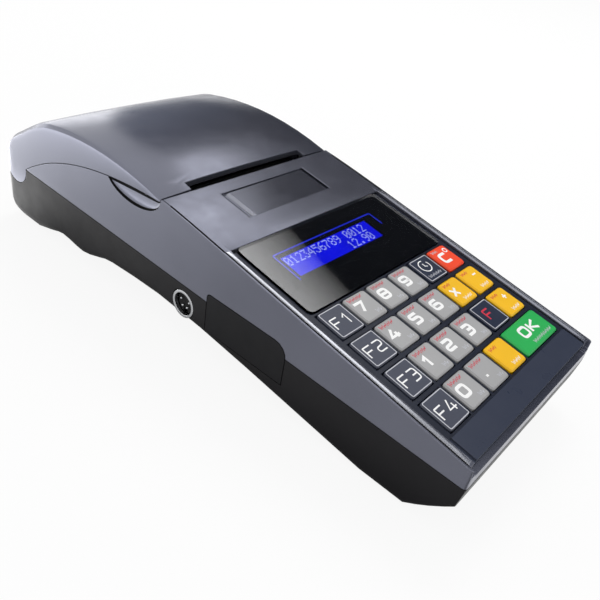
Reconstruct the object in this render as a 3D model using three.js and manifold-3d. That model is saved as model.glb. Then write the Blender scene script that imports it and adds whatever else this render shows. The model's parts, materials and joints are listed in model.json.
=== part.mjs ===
// Compact receipt register with a drop-in paper bay, a sloped keypad and a backlit display.
// Millimetres, +Z up, +X to the user's right. The model is drawn with y counted from the
// front face and the whole group is then moved so that its origin is under the middle.

import * as THREE from 'three';
import { mergeVertices } from 'three/addons/utils/BufferGeometryUtils.js';
import Module from 'manifold-3d';

const wasm = await Module();
wasm.setup();

// Overall size
const bodyWidth = 82.8;
const bodyLength = 218.5;
const halfWidth = bodyWidth / 2;
const wall = 2.2;
const gap = 0.3;
const hairGap = 0.2;
const overrun = 6;
const innerHalfWidth = halfWidth - wall;

// Side outline: top edge, straight along the rails and then easing over the deck
const frontTopHeight = 27.15;
const railEnd = 85;
const railEndHeight = 42.45;
const railSlopeShare = (railEndHeight - frontTopHeight) / railEnd;
const deckBendY = 111.8;
const deckBendZ = 47.28;
const deckEnd = 120.7;
const deckEndHeight = 48.3;

// Side outline: line where the upper and lower case meet
const frontBandHeight = 7.15;
const partingFrontHeight = frontTopHeight - frontBandHeight;
const partingRearHeight = 25.68;
const partingSlopeShare = (partingRearHeight - partingFrontHeight) / bodyLength;
const partingGap = 0.25;

// Side outline: underside, with a toe, a waist, a finger swell and a heel
const soleLift = 0.5;
const chinHeight = 12.8;
const chinBulge = 0.7;
const frontLean = 2.6;
const frontWall = 4.2;
const toeStart = 14.5;
const toeEnd = 30;
const waistFront = 78;
const waistFrontHeight = 6.1;
const waistMiddle = 122;
const waistHeight = 9.4;
const waistRear = 149;
const waistRearHeight = 8.3;
const swellInset = 50.5;
const swellMiddle = bodyLength - swellInset;
const swellHeight = 3.6;
const swellRearInset = 37;
const swellRear = bodyLength - swellRearInset;
const swellRearHeight = 4.9;
const heelStartInset = 19.5;
const heelStart = bodyLength - heelStartInset;
const heelEndInset = 9;
const heelEnd = bodyLength - heelEndInset;
const heelRise = 6;
const bottomRadius = 5;
const bottomRadiusFront = 2.6;
const smallestRound = 1;
const roundShare = 0.9;
const rearCornerRadius = 2.9;
const frontCornerRadius = 1.2;

// Hinge of the lid, and the round rear lobe that the lid turns on
const lobeRadius = 7.5;
const hingeY = bodyLength - lobeRadius;
const hingeZ = 25;
const hingePinRadius = 1.5;
const hingeBore = 1.85;
const rearLipDrop = 6.2;

// Lid
const lidFrontGap = 0.6;
const lidFront = deckEnd + lidFrontGap;
const lidWall = 2.0;
const lidSideStartHeight = 47.5;
const lidSideBowInset = 46.5;
const lidSideBowY = bodyLength - lidSideBowInset;
const lidSideBowZ = 46.9;
const lidEdgeRise = 0.5;
const crownApexInset = 60.5;
const crownApexY = bodyLength - crownApexInset;
const crownApexZ = 53.9;
const crownFrontDrop = 4.9;
const crownRadius = ((crownApexY - lidFront) ** 2 + crownFrontDrop ** 2) / (2 * crownFrontDrop);
const rollStartInset = 32.5;
const rollStart = bodyLength - rollStartInset;
const rollBendInset = 26.5;
const rollBendY = bodyLength - rollBendInset;
const rollBendZ = 49.9;
const slopeStartInset = 18.5;
const slopeStart = bodyLength - slopeStartInset;
const slopeStartZ = 45.2;
const slopeEnd = hingeY;
const slopeEndZ = 38.7;
const cornerBendInset = 1.6;
const cornerBendY = bodyLength - cornerBendInset;
const cornerBendZ = 35.2;
const cornerEndInset = 0.9;
const cornerEndY = bodyLength - cornerEndInset;
const cornerEndZ = 30;
const shoulderFront = 1.2;
const shoulderRear = 4.2;
const shoulderShare = 0.8;
const shoulderMin = 0.4;
const crownSag = 0.7;
const crownMidShare = 0.5;
const crownMidSagShare = 0.25;
const ringClearance = 1;
const ringStep = 0.02;

// Paper outlet
const slotInset = 13;
const slotHalfWidth = halfWidth - slotInset;
const slotDepth = 3.5;

// Finger scoops below the lid's edge, one on each side
const scoopY = 135;
const scoopHalfLength = 14;
const scoopHalfHeight = 6.6;
const scoopDepth = 1.7;
const scoopSlit = 1.3;
const scoopSlitShare = 0.94;

// Keypad plane: slope, and the line where the window meets the first row of keys
const keySlopeEase = THREE.MathUtils.degToRad(0.304);
const keySlope = Math.atan(railSlopeShare) - keySlopeEase;
const keyLineY = 59.5;
const keyLineDrop = 0.2;
const keyLineZ = frontTopHeight + railSlopeShare * keyLineY - keyLineDrop;
const padInset = 5.4;
const columns = 6;
const rows = 4;
const columnPitch = (bodyWidth - 2 * padInset) / columns;
const rowPitch = 12.69;
const keySpacing = 1.55;
const keyLength = 10.7;
const keyChamfer = 0.45;
const keyCorner = 0.9;
const keyTravel = 1.0;
const keyFlange = 0.5;
const keyFlangeThickness = 0.9;

// Frame round the keypad, bezel plate, window and badge pocket
const frameLip = 0.7;
const frameThickness = 2.6;
const recessInset = 3;
const recessHalfWidth = halfWidth - recessInset;
const frontLedge = 1.4;
const bezelDrop = 0.7;
const bezelThickness = 2.4;
const bezelPocketDrop = 1.7;
const apronInset = 4.4;
const apronHalfWidth = halfWidth - apronInset;
const windowLength = 32.4;
const windowThickness = 1.4;
const windowCorner = 1.8;
const scoopRun = 3.2;
const badgeInset = 20.8;
const badgeHalfWidth = halfWidth - badgeInset;
const badgeStart = 101;
const badgeEnd = 115.2;
const badgeDepth = 0.8;
const badgeSideRun = 1.4;
const displayLeftInset = 15;
const displayLeft = displayLeftInset - halfWidth;
const displayRightInset = 19.8;
const displayRight = halfWidth - displayRightInset;
const displayFront = 13.2;
const displayRear = 25.4;
const displayDepth = 7.5;

// Silicone mat and boards
const matSheet = 1.0;
const matDome = 0.9;
const matDomeRadius = 3.0;
const matRim = 1.0;
const matMargin = 1.0;
const domeTopShare = 0.7;
const boardThickness = 1.6;
const boardInset = 1.2;
const boardLift = 1.2;
const boardFront = 63;
const boardRear = 101;
const postRadius = 2.2;
const postInset = 4.4;

// Printer
const platenY = 128.2;
const platenZ = 38.4;
const platenRadius = 5.4;
const platenInset = 12.65;
const platenLength = bodyWidth - 2 * platenInset;
const shaftRadius = 1.5;
const shaftBore = 1.85;
const gearModule = 0.8;
const platenTeeth = 14;
const driveTeeth = 18;
const pinionTeeth = 10;
const gearWidth = 3.2;
const addendumShare = 0.85;
const dedendumShare = 1.15;
const toothRootShare = 0.34;
const toothTipShare = 0.12;
const plateThickness = 1.2;
const plateFrontReach = 12.8;
const plateRearReach = 7.5;
const plateRise = 1.6;
const shoulderDrop = 6;
const shoulderRun = 3;
const bearingReach = 9;
const wingReach = 1.5;
const wingLap = 1;
const railWidth = 2;
const headRailLow = 5.2;
const headRailHigh = 1.6;
const lugThickness = 1.7;
const lugGap = 0.6;
const lugFront = 2.4;
const lugRear = 5.6;
const lugEyeRadius = 3.2;
const plateGap = 0.5;
const gearGap = 0.6;
const headThickness = 2.4;
const headLow = 7;
const headHigh = 4.5;
const finPitch = 5.2;
const finThickness = 1.6;
const finInset = 2;
const finLow = 6;
const finHigh = 2;
const motorRadius = 7;
const motorLength = 14;
const motorShaftRadius = 0.8;
const pinionBore = 1.1;
const tearBarThickness = 0.4;
const tearBarHeight = 3.4;
const tearBarDrop = 0.4;
const tearBarInset = 1;
const tearPitch = 1.9;
const tearBiteShare = 0.35;

// Paper bay
const rollRadius = 19.5;
const rollCoreRadius = 6.0;
const rollInset = 47.5;
const rollY = bodyLength - rollInset;
const rollZ = 29.6;
const rollEndInset = 12.9;
const rollLength = bodyWidth - 2 * rollEndInset;
const rollGap = 0.5;
const bayWall = 1.5;
const bayInset = 12.1;
const bayHalfWidth = halfWidth - bayInset;
const bayShelfDrop = 1.2;
const shelfFrontReach = 8;
const shelfRearReach = 4;
const armThickness = 2.4;
const armHeight = 4.0;
const armRise = 5.6;
const armReach = 8;
const armLap = 0.1;
const barrelRadius = 3.4;
const barrelGap = 0.5;
const pinInset = 0.6;

// Sockets and the flap over them, on the left side
const jackY = 107.8;
const jackDrop = 7.4;
const jackZ = partingFrontHeight + partingSlopeShare * jackY - jackDrop;
const jackRadius = 5.1;
const jackWall = 0.9;
const jackDepth = 10;
const insertSetback = 1.6;
const keywayLength = 3;
const keywayHalfWidth = 0.9;
const keywayRoot = 2.2;
const contactRadius = 0.5;
const contactDepth = 4;
const contactUpperY = 2;
const contactUpperZ = 1;
const contactLowerY = 1.1;
const contactLowerZ = 1.4;
const flapFront = 62.3;
const flapRear = 96.5;
const flapBottom = 11.6;
const flapTop = 26.0;
const flapThickness = 1.3;
const flapLedge = 2.0;
const flapFrontRadius = 4.5;
const flapRearRadius = 1.5;
const socketDepth = 10;
const socketWall = 0.9;
const tongueSetback = 1;
const tongueInset = 2.3;
const dataSocketFront = 66.3;
const dataSocketRear = 76.8;
const dataSocketHeight = 8.5;
const lineSocketFront = 79.3;
const lineSocketRear = 93.3;
const lineSocketHeight = 8;

// Battery, feet and screws
const batteryInset = 22.4;
const batteryHalfWidth = halfWidth - batteryInset;
const batteryFront = 26;
const batteryRear = 58;
const batteryHeight = 13;
const batterySlopeShare = 0.13;
const footRadius = 4;
const footHeight = 1.6;
const footInset = 11.4;
const footX = halfWidth - footInset;
const frontFootY = 22;
const rearFootInset = 14.5;
const rearFootY = bodyLength - rearFootInset;
const screwInset = 8.4;
const screwX = halfWidth - screwInset;
const frontScrewY = 38;
const rearScrewY = 142;
const screwHeadRadius = 2.6;
const screwHeadHeight = 1.7;
const screwShankRadius = 1.3;
const screwLength = 9;
const screwWell = 3;
const screwWeb = 2;
const screwBossWall = 1.6;
const upperBossRadius = 3.2;
const upperBossRib = 2.4;
const frontBossRise = 2.5;
const rearBossRise = 6.3;
const driverHalfWidth = 0.3;
const driverDepth = 0.7;

// Number of facets on round pieces
const fine = 32;
const medium = 20;
const coarse = 14;
const tiny = 8;
const searchSteps = 30;
const weldTolerance = 1e-4;

// Materials
const paint = (color, roughness, metalness) =>
  new THREE.MeshStandardMaterial({ color, roughness, metalness });
const housingPaint = paint(0x6b6d79, 0.35, 0.5);
const lowerPlastic = paint(0x2b2a2f, 0.55, 0);
const bezelPlastic = paint(0x20263a, 0.35, 0);
const windowPlastic = paint(0x111114, 0.08, 0);
const displayGlass = paint(0x0a10e6, 0.3, 0);
const greyKey = paint(0xadadad, 0.5, 0);
const darkKey = paint(0x454958, 0.5, 0);
const yellowKey = paint(0xffc400, 0.5, 0);
const redKey = paint(0xff4a1e, 0.5, 0);
const greenKey = paint(0x22b455, 0.5, 0);
const darkRubber = paint(0x232226, 0.8, 0);
const steel = paint(0xb8bac0, 0.3, 1);
const boardGreen = paint(0x1f6b3a, 0.6, 0);
const innerPlastic = paint(0x2a2b30, 0.6, 0);
const paperWhite = paint(0xf2f1ec, 0.9, 0);
const gearPlastic = paint(0xe8e4d8, 0.5, 0);

const root = new THREE.Group();
root.position.y = -bodyLength / 2;

// Solids and geometries
function toSolid(geometry) {
  const bare = geometry.index ? geometry.toNonIndexed() : geometry.clone();
  for (const name of Object.keys(bare.attributes)) {
    if (name !== 'position') bare.deleteAttribute(name);
  }
  const merged = mergeVertices(bare, weldTolerance);
  return new wasm.Manifold(new wasm.Mesh({
    numProp: 3,
    vertProperties: Float32Array.from(merged.attributes.position.array),
    triVerts: Uint32Array.from(merged.index.array),
  }));
}

function toGeometry(solid) {
  const mesh = solid.getMesh();
  const geometry = new THREE.BufferGeometry();
  geometry.setAttribute('position', new THREE.BufferAttribute(mesh.vertProperties, 3));
  geometry.setIndex(new THREE.BufferAttribute(mesh.triVerts, 1));
  geometry.computeVertexNormals();
  return geometry;
}

function addPiece(name, solid, material, parent = root) {
  const mesh = new THREE.Mesh(toGeometry(solid), material);
  mesh.name = name;
  parent.add(mesh);
  return mesh;
}

const join = (...solids) => solids.reduce((sum, next) => sum.add(next));
const cut = (base, ...tools) => tools.reduce((rest, tool) => rest.subtract(tool), base);

function shapeFrom(points) {
  return new THREE.Shape(points.map(([a, b]) => new THREE.Vector2(a, b)));
}

function extrude(shape, depth, holes = []) {
  shape.holes.push(...holes.map(shapeFrom));
  return new THREE.ExtrudeGeometry(shape, { depth, bevelEnabled: false, curveSegments: 6 });
}

// A side outline of (y, z) points, swept along x
function sweepX(points, x0, x1, holes) {
  const geometry = extrude(shapeFrom(points), x1 - x0, holes);
  geometry.applyMatrix4(new THREE.Matrix4().set(
    0, 0, 1, x0,
    1, 0, 0, 0,
    0, 1, 0, 0,
    0, 0, 0, 1,
  ));
  return toSolid(geometry);
}

// A plan outline of (x, y) points, raised from z0 to z1
function sweepZ(points, z0, z1, holes) {
  const geometry = extrude(shapeFrom(points), z1 - z0, holes);
  geometry.translate(0, 0, z0);
  return toSolid(geometry);
}

function box(x0, x1, y0, y1, z0, z1) {
  const geometry = new THREE.BoxGeometry(x1 - x0, y1 - y0, z1 - z0);
  geometry.translate((x0 + x1) / 2, (y0 + y1) / 2, (z0 + z1) / 2);
  return toSolid(geometry);
}

// Round bar along x
function barX(radius, x0, x1, y, z, facets) {
  const geometry = new THREE.CylinderGeometry(radius, radius, x1 - x0, facets);
  geometry.rotateZ(-Math.PI / 2);
  geometry.translate((x0 + x1) / 2, y, z);
  return toSolid(geometry);
}

// Round bar along z
function barZ(radius, z0, z1, x, y, facets) {
  const geometry = new THREE.CylinderGeometry(radius, radius, z1 - z0, facets);
  geometry.rotateX(Math.PI / 2);
  geometry.translate(x, y, (z0 + z1) / 2);
  return toSolid(geometry);
}

// Skin over a row of convex rings with equal point counts, closed by flat ends
function skin(rings) {
  const count = rings[0].length;
  const positions = rings.flat(2);
  const index = [];
  for (let r = 0; r < rings.length - 1; r += 1) {
    for (let k = 0; k < count; k += 1) {
      const next = (k + 1) % count;
      const a = r * count + k;
      const b = r * count + next;
      index.push(a, b, b + count, a, b + count, a + count);
    }
  }
  const last = (rings.length - 1) * count;
  for (let k = 1; k < count - 1; k += 1) {
    index.push(0, k + 1, k, last, last + k, last + k + 1);
  }
  const geometry = new THREE.BufferGeometry();
  geometry.setAttribute('position', new THREE.Float32BufferAttribute(positions, 3));
  geometry.setIndex(index);
  return toSolid(geometry);
}

const lerp = THREE.MathUtils.lerp;
const span = (a, b, steps) =>
  Array.from({ length: steps + 1 }, (_, k) => lerp(a, b, k / steps));

// Heights along the side outline
const deckCurve = new THREE.QuadraticBezierCurve(
  new THREE.Vector2(railEnd, railEndHeight),
  new THREE.Vector2(deckBendY, deckBendZ),
  new THREE.Vector2(deckEnd, deckEndHeight),
);
const deckStations = span(railEnd, deckEnd, 6);

function topHeight(y) {
  if (y <= railEnd) return frontTopHeight + railSlopeShare * y;
  if (y >= deckEnd) return deckEndHeight;
  return curveHeight(deckCurve, y);
}

const partingHeight = (y) => partingFrontHeight + partingSlopeShare * y;

const notchY = hingeY - lobeRadius - partingGap;
const lidEdge = new THREE.QuadraticBezierCurve(
  new THREE.Vector2(lidFront, lidSideStartHeight),
  new THREE.Vector2(lidSideBowY, lidSideBowZ),
  new THREE.Vector2(hingeY - lobeRadius, hingeZ + lidEdgeRise),
);

const underside = new THREE.SplineCurve([
  [toeEnd, soleLift],
  [(toeEnd + waistFront) / 2, (soleLift + waistFrontHeight) / 2],
  [waistFront, waistFrontHeight],
  [(waistFront + waistMiddle) / 2, (waistFrontHeight + 2 * waistHeight) / 3],
  [waistMiddle, waistHeight],
  [waistRear, waistRearHeight],
  [(waistRear + swellMiddle) / 2, (waistRearHeight + swellHeight) / 2],
  [swellMiddle, swellHeight],
  [swellRear, swellRearHeight],
  [(swellRear + heelStart) / 2, (swellRearHeight + soleLift) / 2],
  [heelStart, soleLift],
].map(([y, z]) => new THREE.Vector2(y, z)));

function curveHeight(curve, y) {
  let low = 0;
  let high = 1;
  for (let k = 0; k < searchSteps; k += 1) {
    const middle = (low + high) / 2;
    if (curve.getPoint(middle).x < y) low = middle;
    else high = middle;
  }
  return curve.getPoint(low).y;
}

function bottomHeight(y) {
  if (y <= toeStart) {
    const t = y / toeStart;
    return lerp(chinHeight, soleLift, t) - 4 * chinBulge * t * (1 - t);
  }
  if (y <= toeEnd || (y >= heelStart && y <= heelEnd)) return soleLift;
  if (y < heelStart) return curveHeight(underside, y);
  const t = (y - heelEnd) / (bodyLength - heelEnd);
  return soleLift + heelRise * (1 - Math.sqrt(1 - t * t));
}

// Rounding of the bottom edges, tighter towards the front
const edgeRadius = (y) => lerp(bottomRadiusFront, bottomRadius, Math.min(y / waistMiddle, 1));

// Half width in plan, drawn in at the corners by a radius
function planHalfWidth(y, inset) {
  const full = halfWidth - inset;
  const fromFront = y - inset;
  const fromRear = bodyLength - inset - y;
  const rear = Math.max(rearCornerRadius - inset, hairGap);
  const front = Math.max(frontCornerRadius - inset, hairGap);
  if (fromFront < front) {
    return full - front + Math.sqrt(Math.max(front * front - (front - fromFront) ** 2, 0));
  }
  if (fromRear < rear) {
    return full - rear + Math.sqrt(Math.max(rear * rear - (rear - fromRear) ** 2, 0));
  }
  return full;
}

// Section of the tub at y: flat top, upright sides, rounded bottom edges
function tubRing(y, inset, top) {
  const half = planHalfWidth(y, inset);
  const low = bottomHeight(y) + inset;
  const radius = Math.min(Math.max(edgeRadius(y) - inset, smallestRound), (top - low) * roundShare);
  const ring = [[half, y, top]];
  for (const angle of span(0, Math.PI / 2, 4)) {
    ring.push([half - radius + radius * Math.cos(angle), y, low + radius - radius * Math.sin(angle)]);
  }
  const mirrored = ring.map(([x, py, z]) => [-x, py, z]).reverse();
  return [...ring, ...mirrored];
}

// Stations along the body, closer together where the outline turns
function tubStations(start, end, inset) {
  const cornered = (radius) => span(0, Math.PI / 2, 4).map((a) => radius * (1 - Math.cos(a)));
  const front = cornered(Math.max(frontCornerRadius - inset, hairGap)).map((d) => start + d);
  const rear = cornered(Math.max(rearCornerRadius - inset, smallestRound)).map((d) => end - d).reverse();
  const middle = [
    ...span(0, toeStart, 4), toeEnd, (toeEnd + waistFront) / 2, waistFront,
    (waistFront + waistMiddle) / 2, ...span(waistMiddle, waistRear, 2),
    ...span(waistRear, swellMiddle, 4).slice(1), ...span(swellMiddle, swellRear, 3).slice(1),
    ...span(swellRear, heelStart, 4).slice(1), ...span(heelEnd, bodyLength, 5).slice(0, -1),
  ];
  const between = middle.filter((y) => y > front.at(-1) + gap && y < rear[0] - gap);
  return [...front, ...between, ...rear];
}

function tub(inset, start, topOffset) {
  const stations = tubStations(start, bodyLength - inset, inset);
  return skin(stations.map((y) => tubRing(y, inset, partingHeight(y) + topOffset)));
}

// Upper edge of the lower case: the parting line, the seat of the lobe, then the rear lip
function lowerCaseTrim() {
  const reach = lobeRadius + partingGap;
  const lipZ = hingeZ - rearLipDrop;
  const lipAngle = Math.asin(rearLipDrop / reach);
  const seat = span(Math.PI, 2 * Math.PI - lipAngle, 12).map((a) => [
    hingeY + reach * Math.cos(a), hingeZ + reach * Math.sin(a)]);
  return [
    [-overrun, partingHeight(-overrun)],
    [notchY, partingHeight(notchY)],
    ...seat,
    [bodyLength + overrun, lipZ],
    [bodyLength + overrun, crownApexZ],
    [-overrun, crownApexZ],
  ];
}

function flapOutline(grow) {
  const bottom = flapBottom - grow;
  const top = flapTop + grow;
  const front = flapFront - grow;
  const rear = flapRear + grow;
  const frontRadius = flapFrontRadius + grow;
  const rearRadius = Math.max(flapRearRadius + grow, flapRearRadius / 2);
  const corner = (y, z, radius, from) => span(from, from + Math.PI / 2, 4).map((a) => [
    y + radius * Math.cos(a), z + radius * Math.sin(a)]);
  return [
    [front, bottom],
    [rear, bottom],
    ...corner(rear - rearRadius, top - rearRadius, rearRadius, 0),
    ...corner(front + frontRadius, top - frontRadius, frontRadius, Math.PI / 2),
  ];
}

const flapPocket = sweepX(flapOutline(gap), -halfWidth - overrun, -halfWidth + flapThickness + gap);
const flapWindow = sweepX(flapOutline(-flapLedge), -halfWidth - overrun, -innerHalfWidth + overrun);
const jackHole = barX(
  jackRadius + gap, -halfWidth - overrun, -halfWidth + jackDepth + gap, jackY, jackZ, fine);

const feet = [
  ['front_left_foot', -footX, frontFootY], ['front_right_foot', footX, frontFootY],
  ['rear_left_foot', -footX, rearFootY], ['rear_right_foot', footX, rearFootY],
];
const screws = [
  ['front_left_screw', -screwX, frontScrewY], ['front_right_screw', screwX, frontScrewY],
  ['rear_left_screw', -screwX, rearScrewY], ['rear_right_screw', screwX, rearScrewY],
];

const boardZ = waistHeight + wall + boardLift;
const boardHalfWidth = innerHalfWidth - boardInset;
const boardPosts = [-boardHalfWidth + postInset, 0, boardHalfWidth - postInset].flatMap((x) => [
  [x, boardFront + postInset], [x, boardRear - postInset]]);

// Lower case: a tub with screw wells, foot pockets, board posts and the side cut-outs
function lowerCase() {
  const above = sweepX(lowerCaseTrim(), -halfWidth - overrun, halfWidth + overrun);
  const ahead = sweepX([
    [-overrun, partingFrontHeight], [0, partingFrontHeight], [frontLean, 0], [-overrun, 0],
  ].reverse(), -halfWidth, halfWidth);
  let solid = cut(tub(0, 0, overrun), above, ahead, tub(wall, frontWall, 2 * overrun));
  for (const [, x, y] of screws) {
    const floor = bottomHeight(y);
    const radius = screwHeadRadius + gap + screwBossWall;
    solid = solid.add(barZ(radius, floor + wall / 2, floor + screwWell + screwWeb, x, y, coarse));
  }
  for (const [x, y] of boardPosts) {
    solid = solid.add(barZ(postRadius, bottomHeight(y) + wall / 2, boardZ - gap, x, y, tiny));
  }
  for (const [, x, y] of screws) {
    const floor = bottomHeight(y);
    solid = solid.subtract(barZ(screwHeadRadius + gap, floor - overrun, floor + screwWell, x, y, coarse));
    solid = solid.subtract(barZ(screwShankRadius + gap, floor, floor + 2 * overrun, x, y, tiny));
  }
  for (const [, x, y] of feet) {
    solid = solid.subtract(barZ(footRadius + gap, -overrun, footHeight + gap, x, y, medium));
  }
  return cut(solid, flapPocket, flapWindow, jackHole);
}

// Outline of the upper case seen from the side, with its edge under the lid's side walls
function upperSide() {
  const top = [0, ...deckStations].map((y) => [y, topHeight(y)]);
  const edge = lidEdge.getPoints(14).map((p) => [p.x, p.y - gap]);
  return [
    [0, partingHeight(0) + partingGap],
    [notchY - gap, partingHeight(notchY - gap) + partingGap],
    ...edge.slice(1, -1).reverse(),
    [deckEnd, edge[0][1]],
    ...top.reverse(),
  ];
}

function lens(side, depth, halfLength, halfHeight) {
  const geometry = new THREE.SphereGeometry(1, fine, medium);
  geometry.scale(depth, halfLength, halfHeight);
  geometry.translate(side * halfWidth, scoopY, lidSideStartHeight - gap);
  return toSolid(geometry);
}

// Finger scoop, with a slit below the lid's edge that opens to the inside
function scoop(side) {
  const slit = lens(side, wall + scoopHalfHeight, scoopHalfLength * scoopSlitShare, scoopSlit);
  return join(lens(side, scoopDepth, scoopHalfLength, scoopHalfHeight), slit);
}

// Upper case: side walls and front wall, rebated for the top frame
function upperCase() {
  const block = sweepX(upperSide(), -halfWidth, halfWidth);
  const plan = sweepZ(cornerPlan(), 0, railEndHeight + crownApexZ);
  const inner = box(
    -innerHalfWidth, innerHalfWidth, wall, bodyLength + overrun, 0, crownApexZ + overrun);
  const rebate = (depth, half) => sweepX([
    ...[-overrun, ...deckStations].map((y) => [y, topHeight(y) - depth]),
    [deckEnd, crownApexZ],
    [-overrun, crownApexZ],
  ], -half, half);
  const frameSeat = rebate(frameThickness + gap, halfWidth - frameLip);
  const bezelSeat = rebate(bezelDrop + bezelThickness + 2 * gap, recessHalfWidth);
  const shell = cut(block.intersect(plan), inner, frameSeat, bezelSeat, scoop(-1), scoop(1));
  return cut(join(shell, ...screws.map(upperBoss)), flapPocket, flapWindow);
}

// Screw boss of the upper case, hung from the side wall by a rib
function upperBoss([, x, y]) {
  const floor = bottomHeight(y);
  const start = floor + screwWell + screwWeb + gap;
  const top = partingHeight(y) + (y === rearScrewY ? rearBossRise : frontBossRise);
  const post = barZ(upperBossRadius, start, top, x, y, coarse);
  const edge = Math.sign(x) * (innerHalfWidth + wall / 2);
  const rib = box(
    Math.min(x, edge), Math.max(x, edge), y - upperBossRib / 2, y + upperBossRib / 2,
    partingHeight(y) + 2 * partingGap, top);
  const bore = barZ(screwShankRadius + gap, start - overrun, floor + 2 * overrun + gap, x, y, tiny);
  return join(post, rib).subtract(bore);
}

function cornerPlan() {
  const radius = frontCornerRadius;
  const right = span(-Math.PI / 2, 0, 4).map((a) => [
    halfWidth - radius + radius * Math.cos(a), radius + radius * Math.sin(a)]);
  const left = right.map(([x, y]) => [-x, y]).reverse();
  return [...left, ...right, [halfWidth, bodyLength], [-halfWidth, bodyLength]];
}

// Keypad frame of reference: x across, v towards the rear along the slope, w out of the keys
const keyPlane = new THREE.Matrix4().makeRotationX(keySlope).setPosition(0, keyLineY, keyLineZ);
const onSlope = (solid) => solid.transform(keyPlane.elements);
const slopePoint = (v, w) => {
  const p = new THREE.Vector3(0, v, w).applyMatrix4(keyPlane);
  return [p.y, p.z];
};

const apronFront = -keyLineY / Math.cos(keySlope);
const padHalfWidth = (columns * columnPitch) / 2;

// Top frame: deck with the badge pocket, sloped edge above the window, and two side rails
function topFrame() {
  const half = halfWidth - frameLip - gap;
  const stations = [frontLedge, ...deckStations];
  const outline = [
    ...stations.map((y) => [y, topHeight(y)]).reverse(),
    ...stations.map((y) => [y, topHeight(y) - frameThickness]),
  ];
  const plate = sweepX(outline, -half, half);
  const [windowRearY, windowRearZ] = slopePoint(windowLength + gap, 0);
  const [, lowZ] = slopePoint(windowLength + gap, -frameThickness - gap);
  const opening = [
    [-overrun, -overrun],
    [windowRearY, -overrun],
    [windowRearY, lowZ],
    [windowRearY, windowRearZ],
    [windowRearY + scoopRun, topHeight(windowRearY + scoopRun) + gap / 2],
    [windowRearY + scoopRun, crownApexZ],
    [-overrun, crownApexZ],
  ];
  const well = sweepX(opening, -recessHalfWidth, recessHalfWidth);
  return cut(plate, well, badgePocket());
}

// Shallow pocket for the badge, with sloped ends
function badgePocket() {
  const section = new THREE.Shape([
    [-badgeHalfWidth + badgeSideRun, -badgeDepth],
    [badgeHalfWidth - badgeSideRun, -badgeDepth],
    [badgeHalfWidth + badgeSideRun, badgeDepth],
    [-badgeHalfWidth - badgeSideRun, badgeDepth],
  ].map(([x, z]) => new THREE.Vector2(x, z)));
  const rise = topHeight(badgeEnd) - topHeight(badgeStart);
  const run = badgeEnd - badgeStart;
  const geometry = new THREE.ExtrudeGeometry(section, { depth: Math.hypot(rise, run), bevelEnabled: false });
  geometry.rotateX(Math.PI / 2);
  geometry.scale(1, -1, -1);
  geometry.rotateX(Math.atan2(rise, run));
  geometry.translate(0, badgeStart, topHeight(badgeStart));
  return toSolid(geometry);
}

function roundedRect(x0, x1, y0, y1, radius, steps = 2) {
  const corner = (x, y, from) => span(from, from + Math.PI / 2, steps).map((a) => [
    x + radius * Math.cos(a), y + radius * Math.sin(a)]);
  return [
    ...corner(x1 - radius, y0 + radius, -Math.PI / 2),
    ...corner(x1 - radius, y1 - radius, 0),
    ...corner(x0 + radius, y1 - radius, Math.PI / 2),
    ...corner(x0 + radius, y0 + radius, Math.PI),
  ];
}

// Keys, named by what they do; the last one is two columns wide
const keyRows = [
  [['key_f1', darkKey], ['key_7', greyKey], ['key_8', greyKey], ['key_9', greyKey],
    ['key_clock', darkKey], ['key_clear', redKey]],
  [['key_f2', darkKey], ['key_4', greyKey], ['key_5', greyKey], ['key_6', greyKey],
    ['key_times', yellowKey], ['key_minus', yellowKey]],
  [['key_f3', darkKey], ['key_1', greyKey], ['key_2', greyKey], ['key_3', greyKey],
    ['key_function', darkKey], ['key_plus', yellowKey]],
  [['key_f4', darkKey], ['key_0', greyKey], ['key_point', greyKey], ['key_total', yellowKey],
    ['key_ok', greenKey, 2]],
];

function keyCells() {
  const cells = [];
  keyRows.forEach((row, r) => {
    let column = 0;
    for (const [name, material, wide = 1] of row) {
      const x = -padHalfWidth + (column + wide / 2) * columnPitch;
      const v = -(r + 0.5) * rowPitch;
      cells.push({ name, material, x, v, width: wide * columnPitch - keySpacing });
      column += wide;
    }
  });
  return cells;
}

const bezelTop = -bezelDrop;
const bezelBottom = bezelTop - bezelThickness;
const flangeTop = bezelBottom - gap;
const flangeBottom = flangeTop - keyFlangeThickness;
const domeTop = flangeBottom - keyTravel - hairGap;
const sheetTop = domeTop - matDome;
const sheetBottom = sheetTop - matSheet;
const keyBoardTop = sheetBottom - gap;
const keyBoardBottom = keyBoardTop - boardThickness;

function cellRect({ x, v, width }, grow) {
  return [x - width / 2 - grow, x + width / 2 + grow, v - keyLength / 2 - grow, v + keyLength / 2 + grow];
}

// One key: retaining flange, upright cap and chamfered top
function keySolid(cell) {
  const level = (grow, w, radius) =>
    roundedRect(...cellRect(cell, grow), radius).map(([x, v]) => [x, v, w]);
  const flangeGrow = gap + keyFlange / 2;
  return onSlope(skin([
    level(flangeGrow, flangeBottom, keyCorner),
    level(flangeGrow, flangeTop, keyCorner),
    level(0, flangeTop, keyCorner),
    level(0, -keyChamfer, keyCorner),
    level(-keyChamfer, 0, keyCorner - keyChamfer / 2),
  ]));
}

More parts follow.
